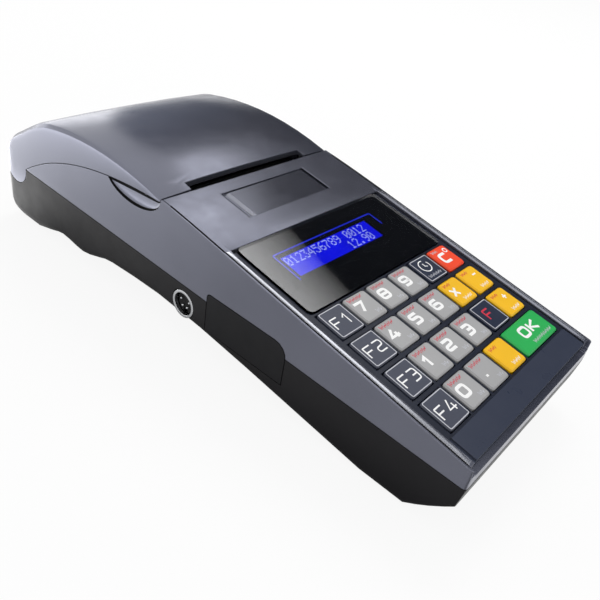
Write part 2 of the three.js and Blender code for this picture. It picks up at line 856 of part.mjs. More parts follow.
// Bezel: one plate with a hole for each key, a pocket for the window and the apron in front
function keypadBezel() {
  const half = recessHalfWidth - gap;
  const front = apronFront + frontLedge;
  const apronTop = -rows * rowPitch;
  const plate = box(-half, half, front, windowLength - 2 * gap, bezelBottom, bezelTop);
  const apron = box(
    -apronHalfWidth, apronHalfWidth, front, apronTop, bezelTop - hairGap, -hairGap);
  const holes = keyCells().map((cell) =>
    box(...cellRect(cell, gap), bezelBottom - overrun, overrun));
  const displayHole = box(displayLeft, displayRight, displayFront, displayRear,
    bezelBottom - overrun, overrun);
  const pocket = sweepZ(
    roundedRect(-padHalfWidth - gap, padHalfWidth + gap, 0, windowLength + overrun, windowCorner),
    -bezelPocketDrop, overrun);
  return onSlope(cut(join(plate, apron), pocket, displayHole, ...holes));
}

function displayWindow() {
  const outline = roundedRect(-padHalfWidth, padHalfWidth, gap, windowLength, windowCorner, 3);
  return onSlope(sweepZ(outline, -windowThickness, 0));
}

// Display module: board with the glass standing up into the bezel's opening
function displayModule() {
  const glass = box(displayLeft + gap, displayRight - gap, displayFront + gap, displayRear - gap,
    bezelBottom - displayDepth / 2, -bezelPocketDrop - hairGap);
  const base = box(displayLeft - boardInset, displayRight + boardInset, displayFront - 2 * boardInset,
    displayRear + 2 * boardInset, bezelBottom - gap - displayDepth / 2, bezelBottom - gap);
  return onSlope(join(base, glass));
}

const matFront = -rows * rowPitch - matMargin;
const matRear = matMargin;

function keyMat() {
  const half = padHalfWidth + matRim;
  const sheet = box(-half, half, matFront, matRear, sheetBottom, sheetTop);
  const rimTop = bezelBottom - gap;
  const rimOuter = box(-half, half, matFront, matRear, sheetBottom, rimTop);
  const rimInner = box(-half + matRim, half - matRim, matFront + matRim / 2, matRear - matRim / 2,
    sheetTop - hairGap / 2, rimTop + overrun);
  let solid = join(sheet, rimOuter.subtract(rimInner));
  for (const { x, v } of keyCells()) {
    const geometry = new THREE.CylinderGeometry(
      matDomeRadius * domeTopShare, matDomeRadius, matDome + hairGap, tiny);
    geometry.rotateX(Math.PI / 2);
    geometry.translate(x, v, domeTop - (matDome + hairGap) / 2);
    solid = solid.add(toSolid(geometry));
  }
  return onSlope(solid);
}

function keyBoard() {
  const half = padHalfWidth + matRim;
  return onSlope(box(-half, half, matFront, matRear, keyBoardBottom, keyBoardTop));
}

// Crown of the lid along its middle
const crownHeight = (y) => crownApexZ - (y - crownApexY) ** 2 / (2 * crownRadius);

// Rear of the lid: a bend, a straight slope, a tight corner and the rear wall
const rollBend = new THREE.QuadraticBezierCurve(
  new THREE.Vector2(rollStart, crownHeight(rollStart)),
  new THREE.Vector2(rollBendY, rollBendZ),
  new THREE.Vector2(slopeStart, slopeStartZ),
);
const cornerBend = new THREE.QuadraticBezierCurve(
  new THREE.Vector2(slopeEnd, slopeEndZ),
  new THREE.Vector2(cornerBendY, cornerBendZ),
  new THREE.Vector2(cornerEndY, cornerEndZ),
);

// Lid stations: y and crown height, moved inwards by an inset along the normal
function lidStations(inset) {
  const profile = [
    ...span(lidFront, rollStart, 9).map((y) => [y, crownHeight(y)]),
    ...[...rollBend.getPoints(4).slice(1), ...cornerBend.getPoints(6)].map((p) => [p.x, p.y]),
    ...span(cornerEndY, bodyLength, 2).slice(1).map((y) => [
      y, lerp(cornerEndZ, hingeZ, (y - cornerEndY) / (bodyLength - cornerEndY))]),
  ];
  return profile.map(([y, z], k) => {
    const before = profile[Math.max(k - 1, 0)];
    const after = profile[Math.min(k + 1, profile.length - 1)];
    const dy = after[0] - before[0];
    const dz = after[1] - before[1];
    const length = Math.hypot(dy, dz);
    return [y + (inset * dz) / length, z - (inset * dy) / length];
  });
}

function lidRing(y, crown, low, inset) {
  const half = planHalfWidth(Math.min(y, bodyLength - inset), inset);
  const reach = (y - lidFront) / (bodyLength - lidFront);
  const shoulder = Math.max(lerp(shoulderFront, shoulderRear, reach) - inset, shoulderMin);
  const radius = Math.min(shoulder, (crown - low) * shoulderShare);
  const edge = crown - crownSag;
  const right = [[half, y, low]];
  for (const a of span(0, Math.PI / 2, 3)) {
    right.push([half - radius + radius * Math.cos(a), y, edge - radius + radius * Math.sin(a)]);
  }
  right.push([half * crownMidShare, y, crown - crownSag * crownMidSagShare]);
  const left = right.map(([x, py, z]) => [-x, py, z]).reverse();
  return [...right, [0, y, crown], ...left].reverse();
}

// Outer form of the lid from its front edge to the vertical rear wall, open end downwards
function lidBlock(inset, low) {
  const rings = [];
  for (const [y, z] of lidStations(inset)) {
    const ahead = rings.length === 0 || y > rings.at(-1)[0][1] + ringStep;
    if (ahead && z - crownSag > low + ringClearance) rings.push(lidRing(y, z, low, inset));
  }
  return skin(rings);
}

// Everything below the lid's lower edge: the side seam, then round the lobe
function lidTrim() {
  const edge = lidEdge.getPoints(14).map((p) => [p.x, p.y]);
  const lobe = span(Math.PI, 2 * Math.PI, 16).map((a) => [
    hingeY + lobeRadius * Math.cos(a), hingeZ + lobeRadius * Math.sin(a)]);
  return [
    [lidFront - overrun, lidSideStartHeight],
    ...edge,
    ...lobe,
    [bodyLength + overrun, hingeZ],
    [bodyLength + overrun, -overrun],
    [lidFront - overrun, -overrun],
  ];
}

const lugOuter = platenLength / 2 + lugGap + lugThickness;
const sidePlateInner = lugOuter + plateGap;
const sidePlateOuter = sidePlateInner + plateThickness;
const gearInner = sidePlateOuter + gearGap;
const gearOuter = gearInner + gearWidth;
const armInner = bayHalfWidth + bayWall;
const armOuter = armInner + armThickness;
const barrelInner = armOuter + barrelGap;
const barrelOuter = innerHalfWidth + lidWall / 2;

// The two x limits of a feature that is mirrored to one side or the other
const mirrored = (side, near, far) => (side > 0 ? [near, far] : [-far, -near]);

// Lid: shell, hinge barrels, and the lugs that carry the platen
function paperLid() {
  const outer = lidBlock(0, hingeZ - lobeRadius);
  const below = sweepX(lidTrim(), -halfWidth - overrun, halfWidth + overrun);
  const inner = lidBlock(lidWall, -overrun);
  const lobeHollow = barX(
    lobeRadius - lidWall, -halfWidth + lidWall, halfWidth - lidWall, hingeY, hingeZ, fine);
  const frontOpening = box(-innerHalfWidth, innerHalfWidth, notchY - overrun, hingeY,
    hingeZ - lobeRadius - overrun, hingeZ + overrun);
  const slot = box(-slotHalfWidth, slotHalfWidth, lidFront - overrun, lidFront + slotDepth,
    lidSideStartHeight - overrun, crownApexZ);
  let solid = cut(outer, below, inner, lobeHollow, frontOpening, slot);
  const roofZ = crownHeight(platenY) - lidWall / 2;
  for (const side of [-1, 1]) {
    const [x0, x1] = mirrored(side, lugOuter - lugThickness, lugOuter);
    const lug = box(x0, x1, platenY - lugFront, platenY + lugRear, platenZ, roofZ);
    const eye = barX(lugEyeRadius, x0, x1, platenY, platenZ, medium);
    const bore = barX(shaftBore, x0 - overrun, x1 + overrun, platenY, platenZ, coarse);
    const [b0, b1] = mirrored(side, barrelInner, barrelOuter);
    solid = join(solid, join(lug, eye).subtract(bore), barX(barrelRadius, b0, b1, hingeY, hingeZ, medium));
  }
  const pinBore = barX(hingeBore, -innerHalfWidth, halfWidth + overrun, hingeY, hingeZ, coarse);
  return solid.subtract(pinBore);
}

// Paper bay: trough for the roll, shelf under the lid's side walls, and two hinge arms
function paperBay() {
  const innerRadius = rollRadius + rollGap;
  const shelfStart = rollY - innerRadius - bayWall - shelfFrontReach;
  const shelfEnd = rollY + innerRadius + bayWall + shelfRearReach;
  const shelfTop = lidEdge.getPoints(14).map((p) => [p.x, p.y - gap - bayShelfDrop])
    .filter(([y]) => y > shelfStart && y < shelfEnd);
  const shelf = sweepX([
    ...shelfTop.map(([y, z]) => [y, z - bayWall]),
    ...shelfTop.slice().reverse(),
  ], -innerHalfWidth + gap, innerHalfWidth - gap);
  const trough = (radius, top) => [
    ...span(Math.PI, 2 * Math.PI, fine / 2).map((a) => [
      rollY + radius * Math.cos(a), rollZ + radius * Math.sin(a)]),
    [rollY + radius, top],
    [rollY - radius, top],
  ];
  const outer = sweepX(trough(innerRadius + bayWall, crownApexZ), -armInner, armInner);
  const [frontY, frontZ] = shelfTop[0];
  const [rearY, rearZ] = shelfTop.at(-1);
  const under = sweepX([
    [frontY - overrun, frontZ],
    ...shelfTop,
    [rearY + overrun, rearZ - overrun],
    [rearY + overrun, crownApexZ + overrun],
    [frontY - overrun, crownApexZ + overrun],
  ], -halfWidth, halfWidth);
  const hollow = sweepX(trough(innerRadius, crownApexZ + overrun), -bayHalfWidth, bayHalfWidth);
  let solid = cut(join(cut(outer, under), shelf), hollow);
  const root = rollY + innerRadius;
  for (const side of [-1, 1]) {
    const [x0, x1] = mirrored(side, armInner - armLap, armOuter);
    const arm = sweepX([
      [root, hingeZ - armHeight / 4],
      [hingeY, hingeZ - armHeight / 2],
      [hingeY, hingeZ + armHeight / 2],
      [root - armReach / 2, hingeZ + armRise],
      [root - armReach, hingeZ + armHeight],
    ], x0, x1);
    solid = join(solid, arm, barX(barrelRadius, x0, x1, hingeY, hingeZ, medium));
  }
  return solid.subtract(barX(hingeBore, -halfWidth, halfWidth, hingeY, hingeZ, coarse));
}

// Gears, with straight-flanked teeth that keep a little backlash
function gearOutline(teeth, phase) {
  const pitchRadius = (gearModule * teeth) / 2;
  const tip = pitchRadius + addendumShare * gearModule;
  const foot = pitchRadius - dedendumShare * gearModule;
  const step = (2 * Math.PI) / teeth;
  const flanks = [
    [foot, -toothRootShare], [tip, -toothTipShare], [tip, toothTipShare], [foot, toothRootShare]];
  return span(0, teeth - 1, teeth - 1).flatMap((k) => flanks.map(([radius, share]) => {
    const a = phase + (k + share) * step;
    return [radius * Math.cos(a), radius * Math.sin(a)];
  }));
}

function gear(teeth, phase, bore, x0, x1, y, z) {
  const hole = span(0, 2 * Math.PI, coarse).slice(0, -1).map((a) => [
    y + bore * Math.cos(a), z + bore * Math.sin(a)]);
  const outline = gearOutline(teeth, phase).map(([a, b]) => [a + y, b + z]);
  return sweepX(outline, x0, x1, [hole]);
}

// The drive gear stands under the platen gear, square to the way the lid lifts
const liftAngle = Math.atan2(hingeY - platenY, platenZ - hingeZ);
const driveDistance = (gearModule * (platenTeeth + driveTeeth)) / 2;
const driveY = platenY - driveDistance * Math.cos(liftAngle);
const driveZ = platenZ - driveDistance * Math.sin(liftAngle);
const pinionDistance = (gearModule * (pinionTeeth + driveTeeth)) / 2;
const pinionY = driveY - pinionDistance;
const pinionZ = driveZ;

// Gear phases: a tooth of each gear faces a gap of the next one
const driveStep = (2 * Math.PI) / driveTeeth;
const platenPhase = liftAngle + Math.PI;
const drivePhase = liftAngle + driveStep / 2;
const stepsToPinion = (Math.PI - drivePhase) / driveStep;
const pinionPhase = ((stepsToPinion - Math.floor(stepsToPinion)) + 1 / 2) * ((2 * Math.PI) / pinionTeeth);

const headRailFront = platenY - plateFrontReach;

// Printer frame: two side plates with open bearings, a floor and a head rail
function printerFrame() {
  const low = bottomHeight(platenY) + wall + gap;
  const frontY = headRailFront;
  const rearY = platenY + plateRearReach;
  const top = platenZ + plateRise;
  const [upY, upZ] = [Math.cos(liftAngle), Math.sin(liftAngle)];
  const bearing = [[1, 0], [1, 1], [-1, 1], [-1, 0]].map(([across, along]) => [
    platenY + across * shaftBore * upZ + along * bearingReach * upY,
    platenZ - across * shaftBore * upY + along * bearingReach * upZ]);
  const plate = [
    [frontY, low], [rearY, low], [rearY, top - shoulderDrop], [rearY - shoulderRun, top],
    [frontY, top]];
  const wingFront = pinionY - motorRadius - wingReach;
  const wing = [
    [wingFront, pinionZ - motorRadius], [frontY + wingLap, pinionZ - motorRadius],
    [frontY + wingLap, pinionZ + motorRadius], [wingFront, pinionZ + motorRadius]];
  const plates = [-1, 1].map((side) => {
    const [x0, x1] = mirrored(side, sidePlateInner, sidePlateOuter);
    const body = side > 0 ? join(sweepX(plate, x0, x1), sweepX(wing, x0, x1)) : sweepX(plate, x0, x1);
    return cut(body, sweepX(bearing, x0 - overrun, x1 + overrun),
      barX(shaftBore, x0 - overrun, x1 + overrun, platenY, platenZ, coarse));
  });
  const floorPlate = box(-sidePlateOuter, sidePlateOuter, frontY, rearY, low, low + plateThickness);
  const rail = box(-sidePlateOuter, sidePlateOuter, frontY, frontY + railWidth,
    platenZ - headRailLow, platenZ - headRailHigh);
  const stub = barX(shaftRadius, sidePlateInner, gearOuter, driveY, driveZ, coarse);
  const hole = barX(
    shaftBore, sidePlateInner - overrun, sidePlateOuter + overrun, pinionY, pinionZ, coarse);
  return join(...plates, floorPlate, rail, stub).subtract(hole);
}

// Print head: ceramic plate on a finned aluminium carrier that rests on the head rail
function printHead() {
  const rear = platenY - platenRadius - gap;
  const front = rear - headThickness;
  const half = platenLength / 2;
  const plate = box(-half, half, front, rear, platenZ - headLow, platenZ + headHigh);
  const fins = [];
  for (let x = finInset - half; x < half - finInset; x += finPitch) {
    fins.push(box(x, x + finThickness, headRailFront + railWidth + gap, front + gap,
      platenZ - finLow, platenZ + finHigh));
  }
  return join(plate, ...fins);
}

// Tear bar: a thin strip with a toothed upper edge, behind the rear edge of the deck
function tearBar() {
  const top = deckEndHeight - tearBarDrop;
  const teeth = Math.round((2 * (slotHalfWidth - tearBarInset)) / tearPitch);
  const half = (teeth * tearPitch) / 2;
  const points = [[half, top - tearBarHeight]];
  for (let k = 0; k <= teeth; k += 1) {
    points.push([half - k * tearPitch, top - tearPitch * tearBiteShare]);
    if (k < teeth) points.push([half - k * tearPitch - tearPitch / 2, top]);
  }
  points.push([-half, top - tearBarHeight]);
  const geometry = extrude(shapeFrom(points), tearBarThickness);
  geometry.rotateX(Math.PI / 2);
  geometry.translate(0, deckEnd + hairGap / 2 + tearBarThickness, 0);
  return toSolid(geometry);
}

// Sockets: an outer shell open towards the left, with a tongue inside
function socket(y0, y1, z0, z1) {
  const x0 = -halfWidth + flapThickness + 2 * gap;
  const x1 = x0 + socketDepth;
  const shell = box(x0, x1, y0, y1, z0, z1);
  const mouth = box(x0 - overrun, x1 - 2 * socketWall, y0 + socketWall, y1 - socketWall,
    z0 + socketWall, z1 - socketWall);
  const middle = (z0 + z1) / 2;
  const tongue = box(x0 + tongueSetback, x1 - socketWall, y0 + tongueInset, y1 - tongueInset,
    middle - socketWall, middle + socketWall / 2);
  return join(shell.subtract(mouth), tongue);
}

function jackShell() {
  const rear = -halfWidth + jackDepth;
  const outer = barX(jackRadius, -halfWidth, rear, jackY, jackZ, fine);
  return outer.subtract(
    barX(jackRadius - jackWall, -halfWidth - overrun, rear - jackWall, jackY, jackZ, fine));
}

function jackInsert() {
  const x0 = -halfWidth + insertSetback;
  const x1 = -halfWidth + jackDepth - jackWall - gap;
  const core = barX(jackRadius - jackWall - gap, x0, x1, jackY, jackZ, medium);
  const keyway = box(x0 - overrun, x0 + keywayLength, jackY - keywayHalfWidth, jackY + keywayHalfWidth,
    jackZ - jackRadius, jackZ - keywayRoot);
  const contacts = [
    [-contactUpperY, contactUpperZ], [contactUpperY, contactUpperZ],
    [-contactLowerY, -contactLowerZ], [contactLowerY, -contactLowerZ]];
  return cut(core, keyway, ...contacts.map(([dy, dz]) =>
    barX(contactRadius, x0 - overrun, x0 + contactDepth, jackY + dy, jackZ + dz, tiny)));
}

function screwSolid(x, y) {
  const seat = bottomHeight(y) + screwWell - gap;
  const low = seat - screwHeadHeight;
  const head = barZ(screwHeadRadius, low, seat, x, y, coarse);
  const driver = box(x - screwHeadRadius, x + screwHeadRadius, y - driverHalfWidth,
    y + driverHalfWidth, low - overrun, low + driverDepth);
  const shank = barZ(screwShankRadius, seat - hairGap, seat + screwLength, x, y, tiny);
  return join(head.subtract(driver), shank);
}

function batteryPack() {
  const rearZ = bottomHeight(batteryRear) + wall + 2 * gap;
  const frontZ = Math.max(
    rearZ - (batteryRear - batteryFront) * batterySlopeShare, soleLift + wall + 2 * gap);
  return sweepX([
    [batteryFront, frontZ],
    [batteryRear, rearZ],
    [batteryRear, rearZ + batteryHeight],
    [batteryFront, frontZ + batteryHeight],
  ], -batteryHalfWidth, batteryHalfWidth);
}

function paperRoll() {
  const half = rollLength / 2;
  const bore = barX(rollCoreRadius, -halfWidth, halfWidth, rollY, rollZ, medium);
  return barX(rollRadius, -half, half, rollY, rollZ, fine).subtract(bore);
}

function flap() {
  return sweepX(flapOutline(0), -halfWidth, -halfWidth + flapThickness);
}

// Assembly
addPiece('lower_case', lowerCase(), lowerPlastic);
addPiece('upper_case', upperCase(), housingPaint);
addPiece('top_frame', topFrame(), housingPaint);
addPiece('keypad_bezel', keypadBezel(), bezelPlastic);
addPiece('display_window', displayWindow(), windowPlastic);
addPiece('display_module', displayModule(), displayGlass);
addPiece('key_mat', keyMat(), darkRubber);
addPiece('key_board', keyBoard(), boardGreen);
for (const cell of keyCells()) addPiece(cell.name, keySolid(cell), cell.material);

addPiece('paper_lid', paperLid(), housingPaint);
addPiece('hinge_pin', barX(
  hingePinRadius, -innerHalfWidth + gap, halfWidth - pinInset, hingeY, hingeZ, coarse), steel);
addPiece('paper_bay', paperBay(), innerPlastic);
addPiece('paper_roll', paperRoll(), paperWhite);

addPiece('printer_frame', printerFrame(), steel);
addPiece('print_head', printHead(), steel);
addPiece('tear_bar', tearBar(), steel);
addPiece('platen_roller', cut(
  barX(platenRadius, -platenLength / 2, platenLength / 2, platenY, platenZ, fine),
  barX(shaftRadius + hairGap, -halfWidth, halfWidth, platenY, platenZ, coarse)), darkRubber);
addPiece('platen_shaft', barX(
  shaftRadius, -sidePlateOuter - gap, gearOuter + gap, platenY, platenZ, coarse), steel);
addPiece('platen_gear', gear(
  platenTeeth, platenPhase, shaftBore, gearInner, gearOuter, platenY, platenZ), gearPlastic);
addPiece('drive_gear', gear(
  driveTeeth, drivePhase, shaftBore, gearInner, gearOuter - gap, driveY, driveZ), gearPlastic);
addPiece('motor_pinion', gear(
  pinionTeeth, pinionPhase, pinionBore, gearInner, gearOuter, pinionY, pinionZ), gearPlastic);
const motorEnd = sidePlateInner - gap;
addPiece('feed_motor', join(
  barX(motorRadius, motorEnd - motorLength, motorEnd, pinionY, pinionZ, medium),
  barX(motorShaftRadius, motorEnd - gap, gearOuter, pinionY, pinionZ, tiny)), steel);

const deckZ = boardZ + boardThickness + gap;
addPiece('main_board', box(
  -boardHalfWidth, boardHalfWidth, boardFront, boardRear, boardZ, boardZ + boardThickness), boardGreen);
addPiece('data_socket', socket(
  dataSocketFront, dataSocketRear, deckZ, deckZ + dataSocketHeight), steel);
addPiece('line_socket', socket(
  lineSocketFront, lineSocketRear, deckZ, deckZ + lineSocketHeight), steel);
addPiece('jack_shell', jackShell(), steel);
addPiece('jack_insert', jackInsert(), innerPlastic);
addPiece('port_flap', flap(), darkRubber);
addPiece('battery_pack', batteryPack(), innerPlastic);
for (const [name, x, y] of feet) {
  addPiece(name, barZ(footRadius, 0, footHeight, x, y, medium), darkRubber);
}
for (const [name, x, y] of screws) addPiece(name, screwSolid(x, y), steel);

export default root;
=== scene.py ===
"""Looks of the portable cash register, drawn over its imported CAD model.

Lengths are in metres. Places on the sloped keypad are given as x, v and w: across, up the
slope from the pad's own origin, and square to the key tops.
"""

import json
import math

import bmesh
import bpy
from mathutils import Matrix, Vector
from mathutils.bvhtree import BVHTree

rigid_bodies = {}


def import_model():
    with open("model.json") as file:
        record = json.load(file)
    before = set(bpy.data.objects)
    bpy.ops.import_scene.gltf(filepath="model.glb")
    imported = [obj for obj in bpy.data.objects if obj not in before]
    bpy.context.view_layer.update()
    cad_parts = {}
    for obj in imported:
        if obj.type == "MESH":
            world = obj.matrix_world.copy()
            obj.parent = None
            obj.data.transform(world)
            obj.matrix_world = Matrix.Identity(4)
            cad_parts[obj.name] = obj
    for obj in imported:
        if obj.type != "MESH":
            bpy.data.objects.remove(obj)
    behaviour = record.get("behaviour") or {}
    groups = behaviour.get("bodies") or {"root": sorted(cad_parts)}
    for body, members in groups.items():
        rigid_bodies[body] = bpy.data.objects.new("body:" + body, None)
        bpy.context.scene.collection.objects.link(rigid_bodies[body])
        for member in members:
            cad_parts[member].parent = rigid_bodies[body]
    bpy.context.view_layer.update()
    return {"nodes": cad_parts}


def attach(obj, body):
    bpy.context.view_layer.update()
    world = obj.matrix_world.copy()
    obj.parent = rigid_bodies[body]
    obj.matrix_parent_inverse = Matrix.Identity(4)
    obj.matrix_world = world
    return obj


for leftover in list(bpy.data.objects):
    bpy.data.objects.remove(leftover)

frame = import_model()
nodes = frame["nodes"]

MM = 0.001
WHITE = (1, 1, 1, 1)

# Keypad: its plane, the grid of its keys, and the rear end of the plate's apron
PAD_SLOPE = math.radians(9.9)
PAD_Y = -49.75 * MM
PAD_Z = 37.66 * MM
COLUMN_PITCH = 12.0 * MM
ROW_PITCH = 12.69 * MM
FIRST_COLUMN = -36.0 * MM
KEY_WIDTH = 10.45 * MM
KEY_LENGTH = 10.7 * MM
APRON_REAR = -99.9 * MM

# Colours that cover most of what is seen, as sRGB hex
PAINT = "767885"
CHARCOAL = "18171a"
NAVY = "1a2030"
APRON = "343a4b"
WINDOW_BLACK = "0b0b0c"
LCD_BLUE = "0a10e6"


def linear(hex_colour):
    """A colour written as sRGB hex, as linear red, green, blue and alpha."""
    channels = [int(hex_colour[i : i + 2], 16) / 255 for i in (0, 2, 4)]
    # The numbers are those of the sRGB curve
    lit = [c / 12.92 if c <= 0.04045 else ((c + 0.055) / 1.055) ** 2.4 for c in channels]
    return (*lit, 1)


def scaled(colour, factor):
    """A linear colour made lighter or darker."""
    return tuple(min(1, c * factor) for c in colour[:3]) + (1,)


def pad_point(x, v, w):
    """A point of the keypad's plane in the frame."""
    return Vector((
        x,
        PAD_Y + v * math.cos(PAD_SLOPE) - w * math.sin(PAD_SLOPE),
        PAD_Z + v * math.sin(PAD_SLOPE) + w * math.cos(PAD_SLOPE),
    ))


# Camera
CAMERA_PLACE = Vector((-0.16124, -0.13400, 0.14491))
VIEW_AZIMUTH = math.radians(54.51)
VIEW_DROP = math.radians(34.36)
VIEW_ROLL = math.radians(10.41)
CAMERA_LENS = 38.96
SENSOR_WIDTH = 36.0
NEAR_CLIP = 0.01


def add_camera():
    """The camera at the photograph's viewing angle."""
    forward = Vector((
        math.sin(VIEW_AZIMUTH) * math.cos(VIEW_DROP),
        math.cos(VIEW_AZIMUTH) * math.cos(VIEW_DROP),
        -math.sin(VIEW_DROP),
    ))
    level = forward.cross(Vector((0, 0, 1))).normalized()
    right = level * math.cos(VIEW_ROLL) + level.cross(forward) * math.sin(VIEW_ROLL)
    up = right.cross(forward)
    data = bpy.data.cameras.new("camera")
    data.lens = CAMERA_LENS
    data.sensor_width = SENSOR_WIDTH
    data.clip_start = NEAR_CLIP
    camera = bpy.data.objects.new("camera", data)
    bpy.context.scene.collection.objects.link(camera)
    turn = Matrix((right, up, -forward)).transposed().to_4x4()
    camera.matrix_world = Matrix.Translation(CAMERA_PLACE) @ turn
    bpy.context.scene.camera = camera


add_camera()


class Graph:
    """A short way to add and join the nodes of one material or world."""

    def __init__(self, tree):
        self.tree = tree
        self.nodes = tree.nodes
        self.nodes.clear()

    def add(self, kind, inputs=None, **settings):
        """A node with these settings. An input is another node's output, or a plain value."""
        node = self.nodes.new(kind)
        for name, value in settings.items():
            setattr(node, name, value)
        for name, value in (inputs or {}).items():
            socket = node.inputs[name]
            if isinstance(value, bpy.types.NodeSocket):
                self.tree.links.new(value, socket)
            else:
                socket.default_value = value
        return node

    def math(self, operation, a, b=0.5, clamp=False):
        node = self.add("ShaderNodeMath", {0: a, 1: b}, operation=operation, use_clamp=clamp)
        return node.outputs[0]

    def minus(self, place, point):
        node = self.add("ShaderNodeVectorMath", {0: place, 1: point}, operation="SUBTRACT")
        return node.outputs[0]

    def dot(self, a, b):
        node = self.add("ShaderNodeVectorMath", {0: a, 1: b}, operation="DOT_PRODUCT")
        return node.outputs["Value"]

    def mix(self, factor, a, b):
        """Two colours mixed. The node's colour sockets are the numbers 6 and 7."""
        return self.add("ShaderNodeMix", {0: factor, 6: a, 7: b}, data_type="RGBA").outputs[2]

    def place(self):
        """The place in the frame, since each piece's origin is the frame's own."""
        return self.add("ShaderNodeTexCoord").outputs["Object"]

    def parts(self, vector):
        """A vector's outputs X, Y and Z."""
        return self.add("ShaderNodeSeparateXYZ", {0: vector}).outputs

    def noise(self, size, detail=2.0, roughness=0.5):
        """Noise whose grains are about size metres wide."""
        inputs = {
            "Vector": self.place(),
            "Scale": 1 / size,
            "Detail": detail,
            "Roughness": roughness,
        }
        return self.add("ShaderNodeTexNoise", inputs).outputs["Fac"]

    def spread(self, value, low, high, start=0.3, end=0.7):
        """A value from start to end, stretched over low to high. Noise is mostly 0.3 to 0.7."""
        inputs = {
            "Value": value,
            "From Min": start,
            "From Max": end,
            "To Min": low,
            "To Max": high,
        }
        return self.add("ShaderNodeMapRange", inputs).outputs["Result"]

    def bump(self, height, strength, distance, normal=None):
        """A normal turned by a height. The normal that it starts from may be given."""
        inputs = {"Strength": strength, "Distance": distance, "Height": height}
        if normal is not None:
            inputs["Normal"] = normal
        return self.add("ShaderNodeBump", inputs).outputs["Normal"]

    def background_rays(self):
        """1 for camera, gloss and glass rays, which see the white background, and else 0."""
        rays = self.add("ShaderNodeLightPath").outputs
        seen = self.math("MAXIMUM", rays["Is Camera Ray"], rays["Is Glossy Ray"])
        return self.math("MAXIMUM", seen, rays["Is Transmission Ray"])

    def emission(self, strength, colour=WHITE):
        inputs = {"Color": colour, "Strength": strength}
        return self.add("ShaderNodeEmission", inputs).outputs[0]

    def surface(self, shader):
        self.add("ShaderNodeOutputMaterial", {"Surface": shader})

    def principled(self, inputs):
        """Makes one principled shader the material's surface."""
        self.surface(self.add("ShaderNodeBsdfPrincipled", inputs).outputs[0])


def new_material(name):
    material = bpy.data.materials.new(name)
    material.use_nodes = True
    return material, Graph(material.node_tree)


# A noise is its grains' width, and where they are given its detail and roughness.
# What all moulded surfaces share: the noise of clouds, smudges and edge patches, the likeness
# of the rounded and the flat normal at a full and at no edge, the range of the gloss, the
# grain's strength, and how much lighter an edge is, partly as wear and partly as a painted
# highlight, more so on a dark colour
CLOUDS = (18 * MM, 3)
SMUDGES = (7 * MM, 4, 0.6)
WORN_AND_LIT_PATCHES = (2.5 * MM, 4)
EDGE_LIKENESS = (0.86, 0.995)
GLOSS_RANGE = (0.88, 1.14)
GRAIN_STRENGTH = 0.35
EDGE_SAMPLES = 4
WORN_AND_LIT_EDGE_GAIN = 1.9
DARK_WORN_AND_LIT_EDGE_GAIN = 3.0
DARK_LEVEL = 0.02


def moulded(name, colour, roughness, grain=0.35 * MM, depth=0.012 * MM, edge=0.35 * MM,
            metallic=0.0, wear_and_highlight=0.35, variation=0.08, specular=0.5, front=None):
    """A moulded, painted or turned surface: fine grain, cloudy tone and gloss, and lighter
    edges, partly wear and partly a painted highlight.

    A front pair holds another colour and the y in front of which it is used.
    """
    material, graph = new_material(name)
    base = linear(colour)
    tone = graph.spread(graph.noise(*CLOUDS), 1 - variation, 1 + variation)
    tone_inputs = {0: base[:3], "Scale": tone}
    toned = graph.add("ShaderNodeVectorMath", tone_inputs, operation="SCALE").outputs[0]
    if front:
        front_colour, front_end = front
        in_front = graph.math("LESS_THAN", graph.parts(graph.place())["Y"], front_end)
        toned = graph.mix(in_front, toned, linear(front_colour))
    soft_edge = graph.add("ShaderNodeBevel", {"Radius": edge}, samples=EDGE_SAMPLES).outputs[0]
    flat = graph.add("ShaderNodeNewGeometry").outputs["Normal"]
    edge_factor = graph.spread(graph.dot(soft_edge, flat), 1, 0, *EDGE_LIKENESS)
    patches = graph.spread(graph.noise(*WORN_AND_LIT_PATCHES), 0, wear_and_highlight)
    # Lighter edges in patches: partly wear, partly a painted highlight
    worn_and_lit_edges = graph.math("MULTIPLY", edge_factor, patches, True)
    lighter = scaled(base, WORN_AND_LIT_EDGE_GAIN if max(base[:3]) > DARK_LEVEL else DARK_WORN_AND_LIT_EDGE_GAIN)
    gloss_ends = [roughness * share for share in GLOSS_RANGE]
    graph.principled({
        "Base Color": graph.mix(worn_and_lit_edges, toned, lighter),
        "Roughness": graph.spread(graph.noise(*SMUDGES), *gloss_ends),
        "Metallic": metallic,
        "Specular IOR Level": specular,
        "Normal": graph.bump(graph.noise(grain), GRAIN_STRENGTH, depth, soft_edge),
    })
    return material


# The display's lit surfaces
GLOW_CLOUD_SIZE = 9 * MM
GLOW_VARIATION = 0.12
GLOW_BASE_SHARE = 0.1
GLOW_ROUGHNESS = 0.3
GLOW_GRAIN = 0.3 * MM
GLOW_GRAIN_STRENGTH = 0.1
GLOW_GRAIN_DEPTH = 0.01 * MM


def glowing(name, colour, strength):
    """A lit panel or mark, with a little unevenness in its light."""
    material, graph = new_material(name)
    base = linear(colour)
    ends = [strength * (1 - GLOW_VARIATION), strength * (1 + GLOW_VARIATION)]
    graph.principled({
        "Base Color": scaled(base, GLOW_BASE_SHARE),
        "Roughness": GLOW_ROUGHNESS,
        "Specular IOR Level": 0.0,
        "Emission Color": base,
        "Emission Strength": graph.spread(graph.noise(GLOW_CLOUD_SIZE), *ends),
        "Normal": graph.bump(graph.noise(GLOW_GRAIN), GLOW_GRAIN_STRENGTH, GLOW_GRAIN_DEPTH),
    })
    return material


# The window's glass
GLASS_TINT = (0.93, 0.94, 0.97, 1)
GLASS_IOR = 1.5
GLASS_ROUGHNESS = (0.012, 0.05)
GLASS_SMUDGES = (9 * MM, 4, 0.6)
RIPPLES = (14 * MM, 1)
RIPPLE_STRENGTH = 0.02
RIPPLE_DEPTH = 0.004 * MM


